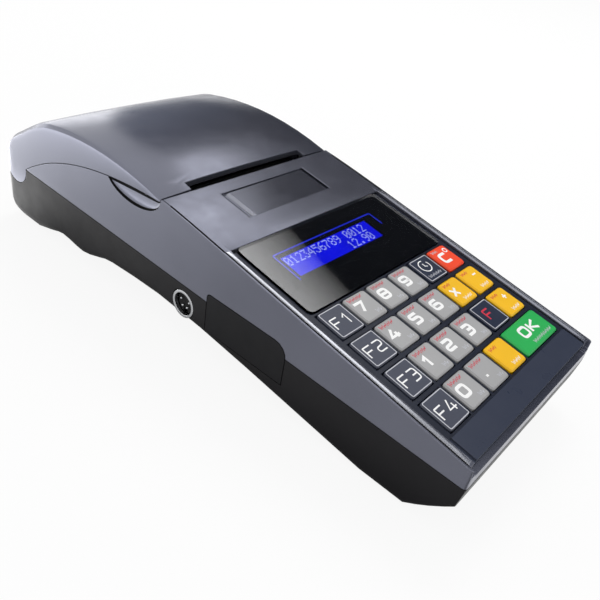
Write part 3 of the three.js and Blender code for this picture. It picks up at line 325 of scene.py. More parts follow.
def clear_glass(name):
    """The window's clear front layer, with faint smudges in its gloss."""
    material, graph = new_material(name)
    graph.principled({
        "Base Color": GLASS_TINT,
        "Roughness": graph.spread(graph.noise(*GLASS_SMUDGES), *GLASS_ROUGHNESS),
        "Transmission Weight": 1.0,
        "IOR": GLASS_IOR,
        "Normal": graph.bump(graph.noise(*RIPPLES), RIPPLE_STRENGTH, RIPPLE_DEPTH),
    })
    return material


# The paper roll
ROLL_CENTRE = Vector((0, 0.06175, 0.0296))
LAYER_PITCH = 0.4 * MM
LAYER_COLOURS = ("e9e8e3", "f6f5f1")
LAYER_STRENGTH = 0.3
LAYER_DEPTH = 0.02 * MM
PAPER_CLOUD_SIZE = 4 * MM
PAPER_ROUGHNESS = (0.5, 0.65)


def wound_paper(name):
    """Thermal paper wound into a roll: fine rings on its ends, layer lines on its face."""
    material, graph = new_material(name)
    local = graph.parts(graph.minus(graph.place(), ROLL_CENTRE))
    squares = [graph.math("MULTIPLY", local[axis], local[axis]) for axis in "YZ"]
    radius = graph.math("POWER", graph.math("ADD", *squares), 0.5)
    rings = graph.math("SINE", graph.math("MULTIPLY", radius, 2 * math.pi / LAYER_PITCH))
    tone = graph.spread(rings, 0.0, 1.0, -1.0, 1.0)
    graph.principled({
        "Base Color": graph.mix(tone, *(linear(colour) for colour in LAYER_COLOURS)),
        "Roughness": graph.spread(graph.noise(PAPER_CLOUD_SIZE), *PAPER_ROUGHNESS),
        "Normal": graph.bump(rings, LAYER_STRENGTH, LAYER_DEPTH),
    })
    return material


# What groups of materials share
CAP_FINISH = {"edge": 0.12 * MM}
SATIN_FINISH = {"grain": 0.5 * MM, "depth": 0.001 * MM}
LEGEND_FINISH = {"edge": 0.02 * MM, "wear_and_highlight": 0.0}

paint = moulded("paint", PAINT, 0.23, grain=0.4 * MM, depth=0.0015 * MM, metallic=0.8,
                wear_and_highlight=0.25, variation=0.03)
charcoal = moulded("charcoal", CHARCOAL, 0.4, grain=0.3 * MM, depth=0.02 * MM, wear_and_highlight=0.3,
                   specular=0.22)
flap_black = moulded("flap_black", "18181b", 0.5, grain=0.4 * MM, depth=0.03 * MM, wear_and_highlight=0.0,
                     specular=0.2)
navy_gloss = moulded("navy_gloss", NAVY, 0.3, grain=0.8 * MM, depth=0.004 * MM, specular=0.4,
                     front=(APRON, APRON_REAR))
mask_black = moulded("mask_black", WINDOW_BLACK, 0.8, grain=0.5 * MM, depth=0.003 * MM,
                     wear_and_highlight=0.0, specular=0.0)
silicone = moulded("silicone", "26262a", 0.6, grain=0.5 * MM)
board_green = moulded("board_green", "1c6338", 0.3, grain=0.9 * MM, depth=0.02 * MM,
                      variation=0.15)
key_grey = moulded("key_grey", "adadae", 0.4, wear_and_highlight=0.25, variation=0.03, **CAP_FINISH)
key_slate = moulded("key_slate", "454958", 0.36, variation=0.05, **CAP_FINISH)
key_navy = moulded("key_navy", "232b40", 0.33, variation=0.05, **CAP_FINISH)
key_red = moulded("key_red", "ff4a1e", 0.38, wear_and_highlight=0.1, variation=0.04, **CAP_FINISH)
key_yellow = moulded("key_yellow", "ffc400", 0.38, wear_and_highlight=0.1, variation=0.04, **CAP_FINISH)
key_green = moulded("key_green", "22b455", 0.38, wear_and_highlight=0.15, variation=0.04, **CAP_FINISH)
steel = moulded("steel", "b4b6ba", 0.24, metallic=1.0, grain=0.15 * MM, variation=0.06)
inner_plastic = moulded("inner_plastic", "303136", 0.5, grain=0.5 * MM)
heat_sink = moulded("heat_sink", "8e9196", 0.4, metallic=1.0, grain=0.3 * MM)
gear_plastic = moulded("gear_plastic", "e4e0d4", 0.45, grain=0.3 * MM)
jack_metal = moulded("jack_metal", "d8dadd", 0.16, metallic=1.0, grain=0.2 * MM)
jack_core = moulded("jack_core", "0e0e10", 0.5, specular=0.2)
badge_satin = moulded("badge_satin", "646671", 0.16, metallic=0.8, wear_and_highlight=0.3, **SATIN_FINISH)
# Lighter copies of the paint: painted highlights on the rails and on the badge's slope
highlight_satin = moulded("highlight_satin", "c6c8d0", 0.22, metallic=0.92, wear_and_highlight=0.2, **SATIN_FINISH)
soft_highlight_satin = moulded("soft_highlight_satin", "989aa5", 0.26, metallic=0.8, wear_and_highlight=0.2, **SATIN_FINISH)
# Near black for painted shade in the scoops' slits and lips and in the grooves beside the top
# frame
shade_black = moulded("shade_black", "0c0c0f", 0.7, wear_and_highlight=0.1, specular=0.1)
rubber = moulded("rubber", "1b1b1d", 0.75, grain=0.3 * MM, depth=0.03 * MM)
battery_wrap = moulded("battery_wrap", "3a4f7a", 0.3, grain=1.2 * MM)
motor_steel = moulded("motor_steel", "9b9da0", 0.35, metallic=1.0, grain=0.5 * MM)
paper = wound_paper("paper")
glass = clear_glass("glass")
legend_white = moulded("legend_white", "ffffff", 0.5, variation=0.02, **LEGEND_FINISH)
legend_silver = moulded("legend_silver", "c9cbd3", 0.4, variation=0.02, **LEGEND_FINISH)
legend_red = moulded("legend_red", "d92b45", 0.45, variation=0.04, **LEGEND_FINISH)
lcd_light = glowing("lcd_light", LCD_BLUE, 1.0)
lcd_dots = glowing("lcd_dots", "b9c6ff", 0.9)
lcd_edge = glowing("lcd_edge", "2230e0", 0.85)

KEY_LOOKS = {
    "f1": key_slate, "f2": key_slate, "f3": key_slate, "f4": key_slate,
    "clock": key_navy, "function": key_navy, "clear": key_red, "ok": key_green,
    "times": key_yellow, "minus": key_yellow, "plus": key_yellow, "total": key_yellow,
}
NODE_LOOKS = {
    "lower_case": charcoal, "upper_case": paint, "top_frame": paint, "paper_lid": paint,
    "keypad_bezel": navy_gloss, "display_window": glass, "display_module": mask_black,
    "key_mat": silicone, "key_board": board_green, "main_board": board_green,
    "hinge_pin": steel, "platen_shaft": steel, "tear_bar": steel, "paper_roll": paper,
    "paper_bay": inner_plastic, "printer_frame": inner_plastic, "print_head": heat_sink,
    "platen_roller": rubber, "platen_gear": gear_plastic, "drive_gear": gear_plastic,
    "motor_pinion": gear_plastic, "feed_motor": motor_steel, "data_socket": steel,
    "line_socket": inner_plastic, "jack_shell": jack_metal, "jack_insert": jack_core,
    "port_flap": flap_black, "battery_pack": battery_wrap,
}


def look_of(name):
    """A CAD node's material."""
    if name in NODE_LOOKS:
        return NODE_LOOKS[name]
    if name.endswith("_foot"):
        return rubber
    if name.endswith("_screw"):
        return steel
    return KEY_LOOKS.get(name.removeprefix("key_"), key_grey)


# Smoothing of the CAD nodes
SHARP_ANGLE = math.radians(28)
WELD_DISTANCE = 0.001 * MM


def smoothing_group():
    """Joins the split vertices and shades all but the sharp edges smooth."""
    group = bpy.data.node_groups.new("smooth_shading", "GeometryNodeTree")
    group.interface.new_socket("Geometry", in_out="INPUT", socket_type="NodeSocketGeometry")
    group.interface.new_socket("Geometry", in_out="OUTPUT", socket_type="NodeSocketGeometry")
    make = group.nodes.new
    link = group.links.new
    entry = make("NodeGroupInput")
    weld = make("GeometryNodeMergeByDistance")
    weld.inputs["Distance"].default_value = WELD_DISTANCE
    faces = make("GeometryNodeSetShadeSmooth")
    faces.domain = "FACE"
    faces.inputs["Shade Smooth"].default_value = True
    angle = make("GeometryNodeInputMeshEdgeAngle")
    compare = make("ShaderNodeMath")
    compare.operation = "LESS_THAN"
    compare.inputs[1].default_value = SHARP_ANGLE
    edges = make("GeometryNodeSetShadeSmooth")
    edges.domain = "EDGE"
    leave = make("NodeGroupOutput")
    link(entry.outputs[0], weld.inputs["Geometry"])
    link(weld.outputs["Geometry"], faces.inputs["Geometry"])
    link(angle.outputs["Unsigned Angle"], compare.inputs[0])
    link(faces.outputs["Geometry"], edges.inputs["Geometry"])
    link(compare.outputs[0], edges.inputs["Shade Smooth"])
    link(edges.outputs["Geometry"], leave.inputs[0])
    return group


def dress_nodes():
    """Gives each CAD node its material and smooth shading."""
    smooth_shading = smoothing_group()
    for name, node in nodes.items():
        mesh = node.data
        if "custom_normal" in mesh.attributes:
            mesh.attributes.remove(mesh.attributes["custom_normal"])
        node.modifiers.new("smooth_shading", "NODES").node_group = smooth_shading
        mesh.materials.clear()
        mesh.materials.append(look_of(name))


dress_nodes()

# Drawing: the steps of a rounded corner, the most of a side that it takes, the limits of a
# mitre, and the thickness of a skin
CORNER_STEPS = 4
CORNER_REACH = 0.499
MITRE_STRETCH = 1.6
MITRE_FLOOR = 0.4
SKIN_THICKNESS = 0.015 * MM


def rounded(points, radius, closed=False):
    """A polyline whose corners are turned into arcs."""
    if radius <= 0:
        return points
    result = []
    count = len(points)
    for i, here in enumerate(points):
        if not closed and i in (0, count - 1):
            result.append(here)
            continue
        before = points[i - 1] - here
        after = points[(i + 1) % count] - here
        reach = min(radius, before.length * CORNER_REACH, after.length * CORNER_REACH)
        start = here + before.normalized() * reach
        end = here + after.normalized() * reach
        for step in range(CORNER_STEPS + 1):
            t = step / CORNER_STEPS
            result.append(start.lerp(here, t).lerp(here.lerp(end, t), t))
    return result


def join_rows(bm, rows, wrap=False):
    """Faces between rows with as many vertices each. Rows that wrap are rings."""
    count = len(rows[0])
    for one, two in zip(rows, rows[1:]):
        for i in range(count if wrap else count - 1):
            k = (i + 1) % count
            bm.faces.new((one[i], one[k], two[k], two[i]))


def add_tube(bm, rings):
    """Faces round the rings, and one on each end."""
    join_rows(bm, rings, wrap=True)
    bm.faces.new(rings[0][::-1])
    bm.faces.new(rings[-1])


def add_stroke(bm, points, width, low, high, closed=False):
    """A flat bar of that width along a polyline of the keypad's plane, from low to high."""
    rings = []
    count = len(points)
    for i, point in enumerate(points):
        before = points[i - 1] if closed or i > 0 else point
        after = points[(i + 1) % count] if closed or i < count - 1 else point
        arriving, leaving = point - before, after - point
        first = (arriving if arriving.length > 0 else leaving).normalized()
        second = leaving.normalized() if leaving.length > 0 else first
        along = (first + second).normalized()
        side = Vector((-along.y, along.x))
        lean = side.dot(Vector((-first.y, first.x)))
        reach = side * width / 2 * min(MITRE_STRETCH, 1 / max(MITRE_FLOOR, lean))
        left, right = point + reach, point - reach
        corners = ((left, low), (left, high), (right, high), (right, low))
        rings.append([bm.verts.new(pad_point(p.x, p.y, w)) for p, w in corners])
    if closed:
        join_rows(bm, rings + rings[:1], wrap=True)
    else:
        add_tube(bm, rings)


def thicken(bm):
    """Turns a sheet into a closed skin."""
    bmesh.ops.recalc_face_normals(bm, faces=bm.faces)
    bmesh.ops.solidify(bm, geom=bm.faces[:], thickness=SKIN_THICKNESS)


def new_object(bm, name, material):
    """Turns the drawn mesh into a named object of that material."""
    mesh = bpy.data.meshes.new(name)
    bm.to_mesh(mesh)
    bm.free()
    mesh.materials.append(material)
    made = bpy.data.objects.new(name, mesh)
    bpy.context.scene.collection.objects.link(made)
    return made


def finish_piece(bm, name, material, body):
    """Turns the drawn mesh into a piece that rides on a body."""
    bmesh.ops.recalc_face_normals(bm, faces=bm.faces)
    piece = new_object(bm, name, material)
    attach(piece, body)


# Characters: their strokes in a unit square, and whether the first stroke is a closed loop
GLYPHS = {
    "0": ([((0, 0), (1, 0), (1, 1), (0, 1))], True),
    "1": ([((0.18, 0.7), (0.6, 1), (0.6, 0))], False),
    "2": ([((0, 1), (1, 1), (1, 0.5), (0, 0.42), (0, 0), (1.02, 0))], False),
    "3": ([((0, 1), (1, 1), (1, 0), (0, 0)), ((0.3, 0.5), (1, 0.5))], False),
    "4": ([((1.06, 0.25), (0, 0.25), (0.56, 1)), ((0.74, 0), (0.74, 0.6))], False),
    "5": ([((1, 1), (0, 1), (0, 0.56), (1, 0.56), (1, 0), (0, 0))], False),
    "6": ([((0.95, 1), (0, 1), (0, 0), (1, 0), (1, 0.55), (0, 0.55))], False),
    "7": ([((0, 1), (1, 1), (0.42, 0))], False),
    "8": ([((0, 0), (1, 0), (1, 1), (0, 1)), ((0, 0.5), (1, 0.5))], True),
    "9": ([((1, 0.45), (0, 0.45), (0, 1), (1, 1), (1, 0), (0.05, 0))], False),
    "C": ([((1, 1), (0, 1), (0, 0), (1, 0))], False),
    "F": ([((0, 0), (0, 1), (1, 1)), ((0, 0.52), (0.85, 0.52))], False),
    "K": ([((0, 0), (0, 1)), ((1, 1), (0.12, 0.5), (1, 0))], False),
    "O": ([((0, 0), (1, 0), (1, 1), (0, 1))], True),
    "X": ([((0, 0), (1, 1)), ((0, 1), (1, 0))], False),
    "-": ([((0, 0.5), (1, 0.5))], False),
    "+": ([((0, 0.5), (1, 0.5)), ((0.5, 0), (0.5, 1))], False),
    ".": ([((0.5, 0), (0.5, 0.22))], False),
}
SQUARE_CORNERS = "147XK-+."
CORNER_SHARE = 0.3
F_CORNER_SHARE = 0.3

# Print stands on the key tops, and each further stroke a little higher
PRINT_FOOT = -0.03 * MM
PRINT_TOP = 0.03 * MM
PRINT_STEP = 0.004 * MM


def add_glyph(bm, character, left, base, width, height, stroke):
    """One character, whose strokes fill the box from left and base."""
    strokes, first_closed = GLYPHS[character]
    inner_width = width - stroke
    inner_height = height - stroke
    radius = 0 if character in SQUARE_CORNERS else CORNER_SHARE * inner_width
    if character == "F":
        radius *= F_CORNER_SHARE
    for number, line in enumerate(strokes):
        points = [
            Vector((left + stroke / 2 + u * inner_width, base + stroke / 2 + t * inner_height))
            for u, t in line
        ]
        closed = first_closed and number == 0
        top = PRINT_TOP + number * PRINT_STEP
        add_stroke(bm, rounded(points, radius, closed), stroke, PRINT_FOOT, top, closed)


class Cap:
    """A key's place: points on it are given right of its left edge and below its rear edge."""

    def __init__(self, key, row, column, wide=1):
        self.key = key
        self.width = KEY_WIDTH + (wide - 1) * COLUMN_PITCH
        middle = FIRST_COLUMN + (column + wide / 2) * COLUMN_PITCH
        self.left = middle - self.width / 2
        self.rear = -(row + 0.5) * ROW_PITCH + KEY_LENGTH / 2

    def at(self, a, b):
        return Vector((self.left + a, self.rear - b))

    def piece(self, bm, kind, material):
        finish_piece(bm, kind + "_" + self.key, material, "button_" + self.key)


KEY_ROWS = (
    ("f1", "7", "8", "9", "clock", "clear"),
    ("f2", "4", "5", "6", "times", "minus"),
    ("f3", "1", "2", "3", "function", "plus"),
    ("f4", "0", "point", "total", "ok"),
)
caps = {
    key: Cap(key, row, column, 2 if key == "ok" else 1)
    for row, keys in enumerate(KEY_ROWS)
    for column, key in enumerate(keys)
}

# Lettering in millimetres: left and rear edge on the cap, width, height and stroke of one
# character, and the step to the next
NUMBER_LETTERS = (1.05, 2.85, 4.65, 4.55, 1.05, 0)
MENU_LETTERS = (1.35, 3.45, 3.5, 4.3, 0.48, 4.3)
TIMES_LETTERS = (1.3, 3.3, 3.9, 3.9, 0.85, 0)
SIGN_LETTERS = (5.6, 2.4, 2.6, 2.6, 0.6, 0)
CLEAR_LETTERS = (2.0, 2.9, 4.9, 4.9, 1.15, 0)
FUNCTION_LETTERS = (3.1, 2.95, 3.8, 4.45, 0.62, 0)
OK_LETTERS = (6.2, 2.1, 5.1, 4.5, 1.0, 5.9)

# Zigzags in millimetres: start, end and rear edge on the cap, and height
NUMBER_PRINT = {"red": (1.2, 7.6, 0.8, 1.35), "white": (6.6, 9.3, 8.0, 1.35)}
YELLOW_PRINT = {
    "red": (1.2, 5.0, 1.0, 1.3),
    "white": (3.8, 8.6, 8.2, 1.3),
    "white_ink": legend_white,
}
CLEAR_PRINT = {"white": (1.2, 4.6, 0.9, 1.2)}
CLOCK_PRINT = {"white": (1.6, 8.8, 7.9, 1.3)}
OK_PRINT = {"white": (8.0, 20.5, 8.0, 1.3)}

# The zigzags' steps and heights, as shares of their height, and their stroke
SCRIBBLE_STEPS = (0.36, 0.24, 0.32, 0.2, 0.38, 0.28)
SCRIBBLE_LEVELS = (0.0, 1.0, 0.25, 0.85, 0.05, 0.95, 0.4, 0.75)
SCRIBBLE_STROKE = 0.24 * MM

# The line round a dark cap
OUTLINE_INSET = 0.42 * MM
OUTLINE_STROKE = 0.3 * MM
OUTLINE_CORNER = 0.5 * MM

# The ring beside the C and the clock's dial and hands. An arc is its ends in degrees and steps
RING_PLACE = (8.3 * MM, 2.7 * MM)
RING_RADIUS = 0.9 * MM
RING_ARC = (0, 345, 16)
RING_STROKE = 0.45 * MM
DIAL_PLACE = (4.9 * MM, 4.2 * MM)
DIAL_RADIUS = 2.5 * MM
DIAL_ARC = (70, 390, 28)
DIAL_STROKE = 0.4 * MM
SHORT_HAND = Vector((0, 1.3 * MM))
SIDE_HAND = Vector((1.1 * MM, -0.5 * MM))
HAND_STROKE = 0.38 * MM


def draw_characters(bm, cap, text, lettering):
    """Characters in a row on that cap."""
    left, rear, width, height, stroke, step = (length * MM for length in lettering)
    for i, character in enumerate(text):
        corner = cap.at(left + i * step, rear + height)
        add_glyph(bm, character, corner.x, corner.y, width, height, stroke)


def arc_points(centre, radius, start, end, steps):
    """Points on an arc of the keypad's plane, with angles in degrees."""
    angles = [math.radians(start + (end - start) * i / steps) for i in range(steps + 1)]
    return [centre + Vector((math.cos(a), math.sin(a))) * radius for a in angles]


def draw_ring(bm, cap):
    points = arc_points(cap.at(*RING_PLACE), RING_RADIUS, *RING_ARC)
    add_stroke(bm, points, RING_STROKE, PRINT_FOOT, PRINT_TOP)


def draw_clock(bm, cap):
    centre = cap.at(*DIAL_PLACE)
    dial = arc_points(centre, DIAL_RADIUS, *DIAL_ARC)
    add_stroke(bm, dial, DIAL_STROKE, PRINT_FOOT, PRINT_TOP)
    hands = [centre + SHORT_HAND, centre, centre + SIDE_HAND]
    add_stroke(bm, hands, HAND_STROKE, PRINT_FOOT, PRINT_TOP)


def scribble(cap, kind, material, lengths):
    """A short zigzag without letters, where the real key has small print."""
    place, end, rear, height = (length * MM for length in lengths)
    points = []
    while place < end:
        level = SCRIBBLE_LEVELS[len(points) % len(SCRIBBLE_LEVELS)]
        points.append(cap.at(place, rear + level * height))
        place += SCRIBBLE_STEPS[len(points) % len(SCRIBBLE_STEPS)] * height
    bm = bmesh.new()
    add_stroke(bm, points, SCRIBBLE_STROKE, PRINT_FOOT, PRINT_TOP)
    cap.piece(bm, kind, material)


def outline(cap):
    """The line round a cap, just inside its edge."""
    right, front = cap.width - OUTLINE_INSET, KEY_LENGTH - OUTLINE_INSET
    corners = [
        cap.at(OUTLINE_INSET, OUTLINE_INSET),
        cap.at(right, OUTLINE_INSET),
        cap.at(right, front),
        cap.at(OUTLINE_INSET, front),
    ]
    line = rounded(corners, OUTLINE_CORNER, True)
    bm = bmesh.new()
    add_stroke(bm, line, OUTLINE_STROKE, PRINT_FOOT, PRINT_TOP, True)
    cap.piece(bm, "outline", legend_silver)


def mark_key(key, text="", lettering=NUMBER_LETTERS, ink=legend_white, drawing=None, red=None,
             white=None, white_ink=legend_silver, outlined=False):
    """All that is printed on one key: characters and a drawing, zigzags and an outline."""
    cap = caps[key]
    if text or drawing:
        bm = bmesh.new()
        draw_characters(bm, cap, text, lettering)
        if drawing:
            drawing(bm, cap)
        cap.piece(bm, "legend", ink)
    if red:
        scribble(cap, "red_print", legend_red, red)
    if white:
        scribble(cap, "white_print", white_ink, white)
    if outlined:
        outline(cap)


for digit in "0123456789":
    mark_key(digit, digit, **NUMBER_PRINT)
for number in "1234":
    mark_key("f" + number, "F" + number, MENU_LETTERS, outlined=True)
mark_key("times", "X", TIMES_LETTERS, **YELLOW_PRINT)
mark_key("minus", "-", SIGN_LETTERS, **YELLOW_PRINT)
mark_key("plus", "+", SIGN_LETTERS, **YELLOW_PRINT)
mark_key("total", **YELLOW_PRINT)
mark_key("point", ".", **NUMBER_PRINT)
mark_key("clear", "C", CLEAR_LETTERS, drawing=draw_ring, **CLEAR_PRINT)
mark_key("clock", drawing=draw_clock, outlined=True, **CLOCK_PRINT)
mark_key("function", "F", FUNCTION_LETTERS, ink=legend_red, outlined=True)
mark_key("ok", "OK", OK_LETTERS, **OK_PRINT)


def surface_tree(node_name):
    """A CAD node's faces, for finding places on them."""
    mesh = nodes[node_name].data
    places = [vertex.co for vertex in mesh.vertices]
    return BVHTree.FromPolygons(places, [face.vertices[:] for face in mesh.polygons])


SIDES = ((-1, "left"), (1, "right"))

# Finger scoops: middle and half sizes of the hollow, its depth and the wall that it is in
SCOOP_Y = 25.75 * MM
SCOOP_Z = 47.2 * MM
SCOOP_LENGTH = 14.0 * MM
SCOOP_HEIGHT = 6.6 * MM
SCOOP_DEPTH = 1.7 * MM
SCOOP_SIDE = 41.4 * MM
SCOOP_SEARCH = 2.2 * SCOOP_DEPTH
SCOOP_LAYER = 0.03 * MM
TRIM_STEPS = 60
TRIM_ROWS = 8

# The lid's lower edge above the scoop, in millimetres: height at its middle, slope, curvature
LID_EDGE = (46.95, 0.0707, 0.00262)

# The dark strip of painted shade in the slit under the lid's edge: its share of the scoop's
# length, its start below the edge, and how far down it goes, as a share of the hollow's depth
# and a length
SLIT_SHADE_SPAN = 0.96
SLIT_SHADE_TOP = 0.25 * MM
SLIT_SHADE_VIEW = 0.85
SLIT_SHADE_FOOT = 0.6 * MM

# The shadow line round the lower lip: its start as a share of a half turn, then, as shares of
# the scoop's half sizes, its outer edge, and its width in the middle and at its tips
LIP_START = 0.08
LIP_REACH = 0.998
LIP_SPAN = 0.10
LIP_TIP = 0.06

upper_tree = surface_tree("upper_case")


def on_scoop(side, u, t):
    """A point just off the scoop's hollow, with u along and t up it as shares of half sizes."""
    y, z = SCOOP_Y + u * SCOOP_LENGTH, SCOOP_Z + t * SCOOP_HEIGHT
    start = Vector((side * (SCOOP_SIDE + SCOOP_DEPTH), y, z))
    hit = upper_tree.ray_cast(start, Vector((-side, 0, 0)), SCOOP_SEARCH)[0]
    depth = SCOOP_DEPTH * math.sqrt(max(0.0, 1 - u * u - t * t))
    x = abs(hit.x) if hit else SCOOP_SIDE - depth
    return Vector((side * (x + SCOOP_LAYER), y, z))


def scoop_trim(name, side, place_of):
    """A thin dark skin of painted shade on the scoop's hollow, from places given by step and
    row.
    """
    bm = bmesh.new()
    rows = []
    for i in range(TRIM_STEPS + 1):
        places = [place_of(i / TRIM_STEPS, k / TRIM_ROWS) for k in range(TRIM_ROWS + 1)]
        rows.append([bm.verts.new(on_scoop(side, u, t)) for u, t in places])
    join_rows(bm, rows)
    thicken(bm)
    finish_piece(bm, name, shade_black, "case")


def lid_edge_height(y):
    """The height of the lid's lower edge above the scoop."""
    height, slope, curvature = LID_EDGE
    run = (y - SCOOP_Y) / MM
    return (height - slope * run - curvature * run * run) * MM


def slit_shade_place(i, k):
    """The place of the painted slit shade for a share of its length and of its height."""
    u = SLIT_SHADE_SPAN * (2 * i - 1)
    hollow = SCOOP_DEPTH * math.sqrt(1 - u * u)
    top = lid_edge_height(SCOOP_Y + u * SCOOP_LENGTH) - SLIT_SHADE_TOP
    foot = top - SLIT_SHADE_VIEW * hollow - SLIT_SHADE_FOOT * math.sqrt(1 - (u / SLIT_SHADE_SPAN) ** 2)
    return u, (top + (foot - top) * k - SCOOP_Z) / SCOOP_HEIGHT


def lip_place(i, k):
    """The shadow line's place for a share of its length and of its width."""
    turn = math.pi * (LIP_START + (1 - LIP_START) * i)
    reach = LIP_REACH - LIP_SPAN * k * max(LIP_TIP, math.sin(turn))
    return math.cos(turn) * reach, -math.sin(turn) * reach


# Painted shade in the scoops: a dark skin in the slit under the lid's edge, and a dark shadow
# line round the lower lip
for side, side_name in SIDES:
    scoop_trim("scoop_slit_shade_" + side_name, side, slit_shade_place)
    scoop_trim("scoop_lip_" + side_name, side, lip_place)

# Blank plate in the badge pocket, with a long slope at its left end, which is drawn in a lighter
# satin as a painted highlight. The foot and the rise are above the pocket's floor, which is
# looked for from SEARCH_HEIGHT down
BADGE_LEFT = -18.9 * MM
BADGE_RIGHT = 18.8 * MM
BADGE_FRONT = -7.9 * MM
BADGE_REAR = 5.6 * MM
BADGE_FOOT = 0.02 * MM
BADGE_RISE = 0.5 * MM
BADGE_SLOPE_RUN = 1.8 * MM
SEARCH_HEIGHT = 80 * MM

frame_tree = surface_tree("top_frame")


def frame_height(x, y):
    """The height of the top frame at a place of its plan."""
    start = Vector((x, y, SEARCH_HEIGHT))
    return frame_tree.ray_cast(start, Vector((0, 0, -1)))[0].z


def badge_piece(name, left, right, left_rise, right_rise, material):
    """A flat piece in the pocket, with its own height at each end."""
    bm = bmesh.new()
    corners = (
        (left, BADGE_FRONT, left_rise), (right, BADGE_FRONT, right_rise),
        (right, BADGE_REAR, right_rise), (left, BADGE_REAR, left_rise),
    )
    foot = [bm.verts.new((x, y, frame_height(0, y) + BADGE_FOOT)) for x, y, _ in corners]
    top = [bm.verts.new((x, y, frame_height(0, y) + rise)) for x, y, rise in corners]
    add_tube(bm, [foot, top])
    finish_piece(bm, name, material, "case")


slope_end = BADGE_LEFT + BADGE_SLOPE_RUN
badge_piece("badge_plate", slope_end, BADGE_RIGHT, BADGE_RISE, BADGE_RISE, badge_satin)
# The slope's lighter satin is a painted highlight
badge_piece("badge_slope", BADGE_LEFT, slope_end, 2 * BADGE_FOOT, BADGE_RISE, soft_highlight_satin)

# Lines along the top frame's sides: raised ones with inner bevels on the rails, both in lighter
# satins as painted highlights, and dark strips of painted shade in the grooves outside them. A
# section is x and rise in millimetres, and ends sink to END_RISE of the rise
RAIL_FRONT = -107.2 * MM
RAIL_REAR = -18.0 * MM
DECK_REAR = 7.6 * MM
RAIL_STEPS = 24
RAIL_MIDDLE = 39.3 * MM
RAIL_TOP = ((40.3, 0.02), (40.2, 0.28), (39.25, 0.28))
RAIL_BEVEL = ((39.25, 0.28), (38.45, 0.02))
RAIL_GROOVE_SHADE = ((40.32, 0.03), (40.72, 0.03))
DECK_GROOVE_SHADE = ((40.3, 0.03), (40.95, 0.03))
END_RISE = 0.07


def rail_strip(name, side, section, material, front=RAIL_FRONT, rear=RAIL_REAR):
    """A thin strip of that section, laid along the top frame."""
    bm = bmesh.new()
    rows = []
    for i in range(RAIL_STEPS + 1):
        y = front + (rear - front) * i / RAIL_STEPS
        z = frame_height(side * RAIL_MIDDLE, y)
        share = END_RISE if i in (0, RAIL_STEPS) else 1.0
        rows.append([
            bm.verts.new((side * x * MM, y, z + rise * share * MM)) for x, rise in section
        ])
    join_rows(bm, rows)
    thicken(bm)
    finish_piece(bm, name, material, "case")


for side, side_name in SIDES:
    # Painted highlights on the rails, and painted shade in the grooves beside the rails and the
    # deck
    rail_strip("rail_top_" + side_name, side, RAIL_TOP, highlight_satin)
    rail_strip("rail_bevel_" + side_name, side, RAIL_BEVEL, soft_highlight_satin)
    rail_strip("rail_groove_shade_" + side_name, side, RAIL_GROOVE_SHADE, shade_black)
    rail_strip("deck_groove_shade_" + side_name, side, DECK_GROOVE_SHADE, shade_black, RAIL_REAR, DECK_REAR)

# Contact pins of the round socket: places in millimetres from its axis, and the rings of one
# pin, as shares of its radius and of its reach out of the socket's inner face
JACK_FACE = -39.8 * MM
PIN_RADIUS = 0.42 * MM
PIN_REACH = 0.9 * MM
PIN_SIDES = 12
PIN_PLACES = ((-2.0, 1.0), (2.0, 1.0), (-1.1, -1.4), (1.1, -1.4))
PIN_RINGS = ((1.0, -2.0), (1.0, 0.6), (0.75, 0.9), (0.35, 1.0))

shell_places = [vertex.co for vertex in nodes["jack_shell"].data.vertices]
jack_y, jack_z = (
    (min(p[axis] for p in shell_places) + max(p[axis] for p in shell_places)) / 2
    for axis in (1, 2)
)


def jack_pin(number, across, up):
    """A round contact with a domed end, along the socket's axis."""
    bm = bmesh.new()
    rings = []
    for share, out in PIN_RINGS:
        ring = []
        for i in range(PIN_SIDES):
            turn = 2 * math.pi * i / PIN_SIDES
            y = jack_y + across * MM + PIN_RADIUS * share * math.cos(turn)
            z = jack_z + up * MM + PIN_RADIUS * share * math.sin(turn)
            ring.append(bm.verts.new((JACK_FACE - PIN_REACH * out, y, z)))
        rings.append(ring)
    add_tube(bm, rings)
    finish_piece(bm, f"jack_pin_{number}", jack_metal, "case")


for number, (across, up) in enumerate(PIN_PLACES):
    jack_pin(number, across, up)

# Window and display. A box of the keypad's plane is its left, front, right and rear
WINDOW_BOX = (-36.0 * MM, 0.3 * MM, 36.0 * MM, 32.4 * MM)
WINDOW_UNDERSIDE = -1.42 * MM
MASK_THICKNESS = 0.1 * MM
MASK_INSET = 0.5 * MM
MASK_HOLE_MARGIN = 0.35 * MM
MASK_TOP = WINDOW_UNDERSIDE - MASK_THICKNESS / 2
LCD_BOX = (-25.3 * MM, 14.1 * MM, 18.8 * MM, 23.2 * MM)
LCD_TOP = -1.84 * MM
LCD_THICKNESS = 0.04 * MM

# The lit edge of the display's light guide, which ends short of its front right corner
GUIDE_BOX = (-27.0 * MM, 12.6 * MM, 24.0 * MM, 25.0 * MM)
GUIDE_SHORT = 6 * MM
GUIDE_CORNER = 0.8 * MM
GUIDE_STROKE = 0.5 * MM
GUIDE_THICKNESS = 0.03 * MM


def grown(box, margin):
    """A box of the keypad's plane with that margin round it."""
    left, front, right, rear = box
    return left - margin, front - margin, right + margin, rear + margin


def box_ring(bm, box, w):
    """The four corners of a box of the keypad's plane, at that height."""
    left, front, right, rear = box
    places = ((left, front), (right, front), (right, rear), (left, rear))
    return [bm.verts.new(pad_point(x, v, w)) for x, v in places]


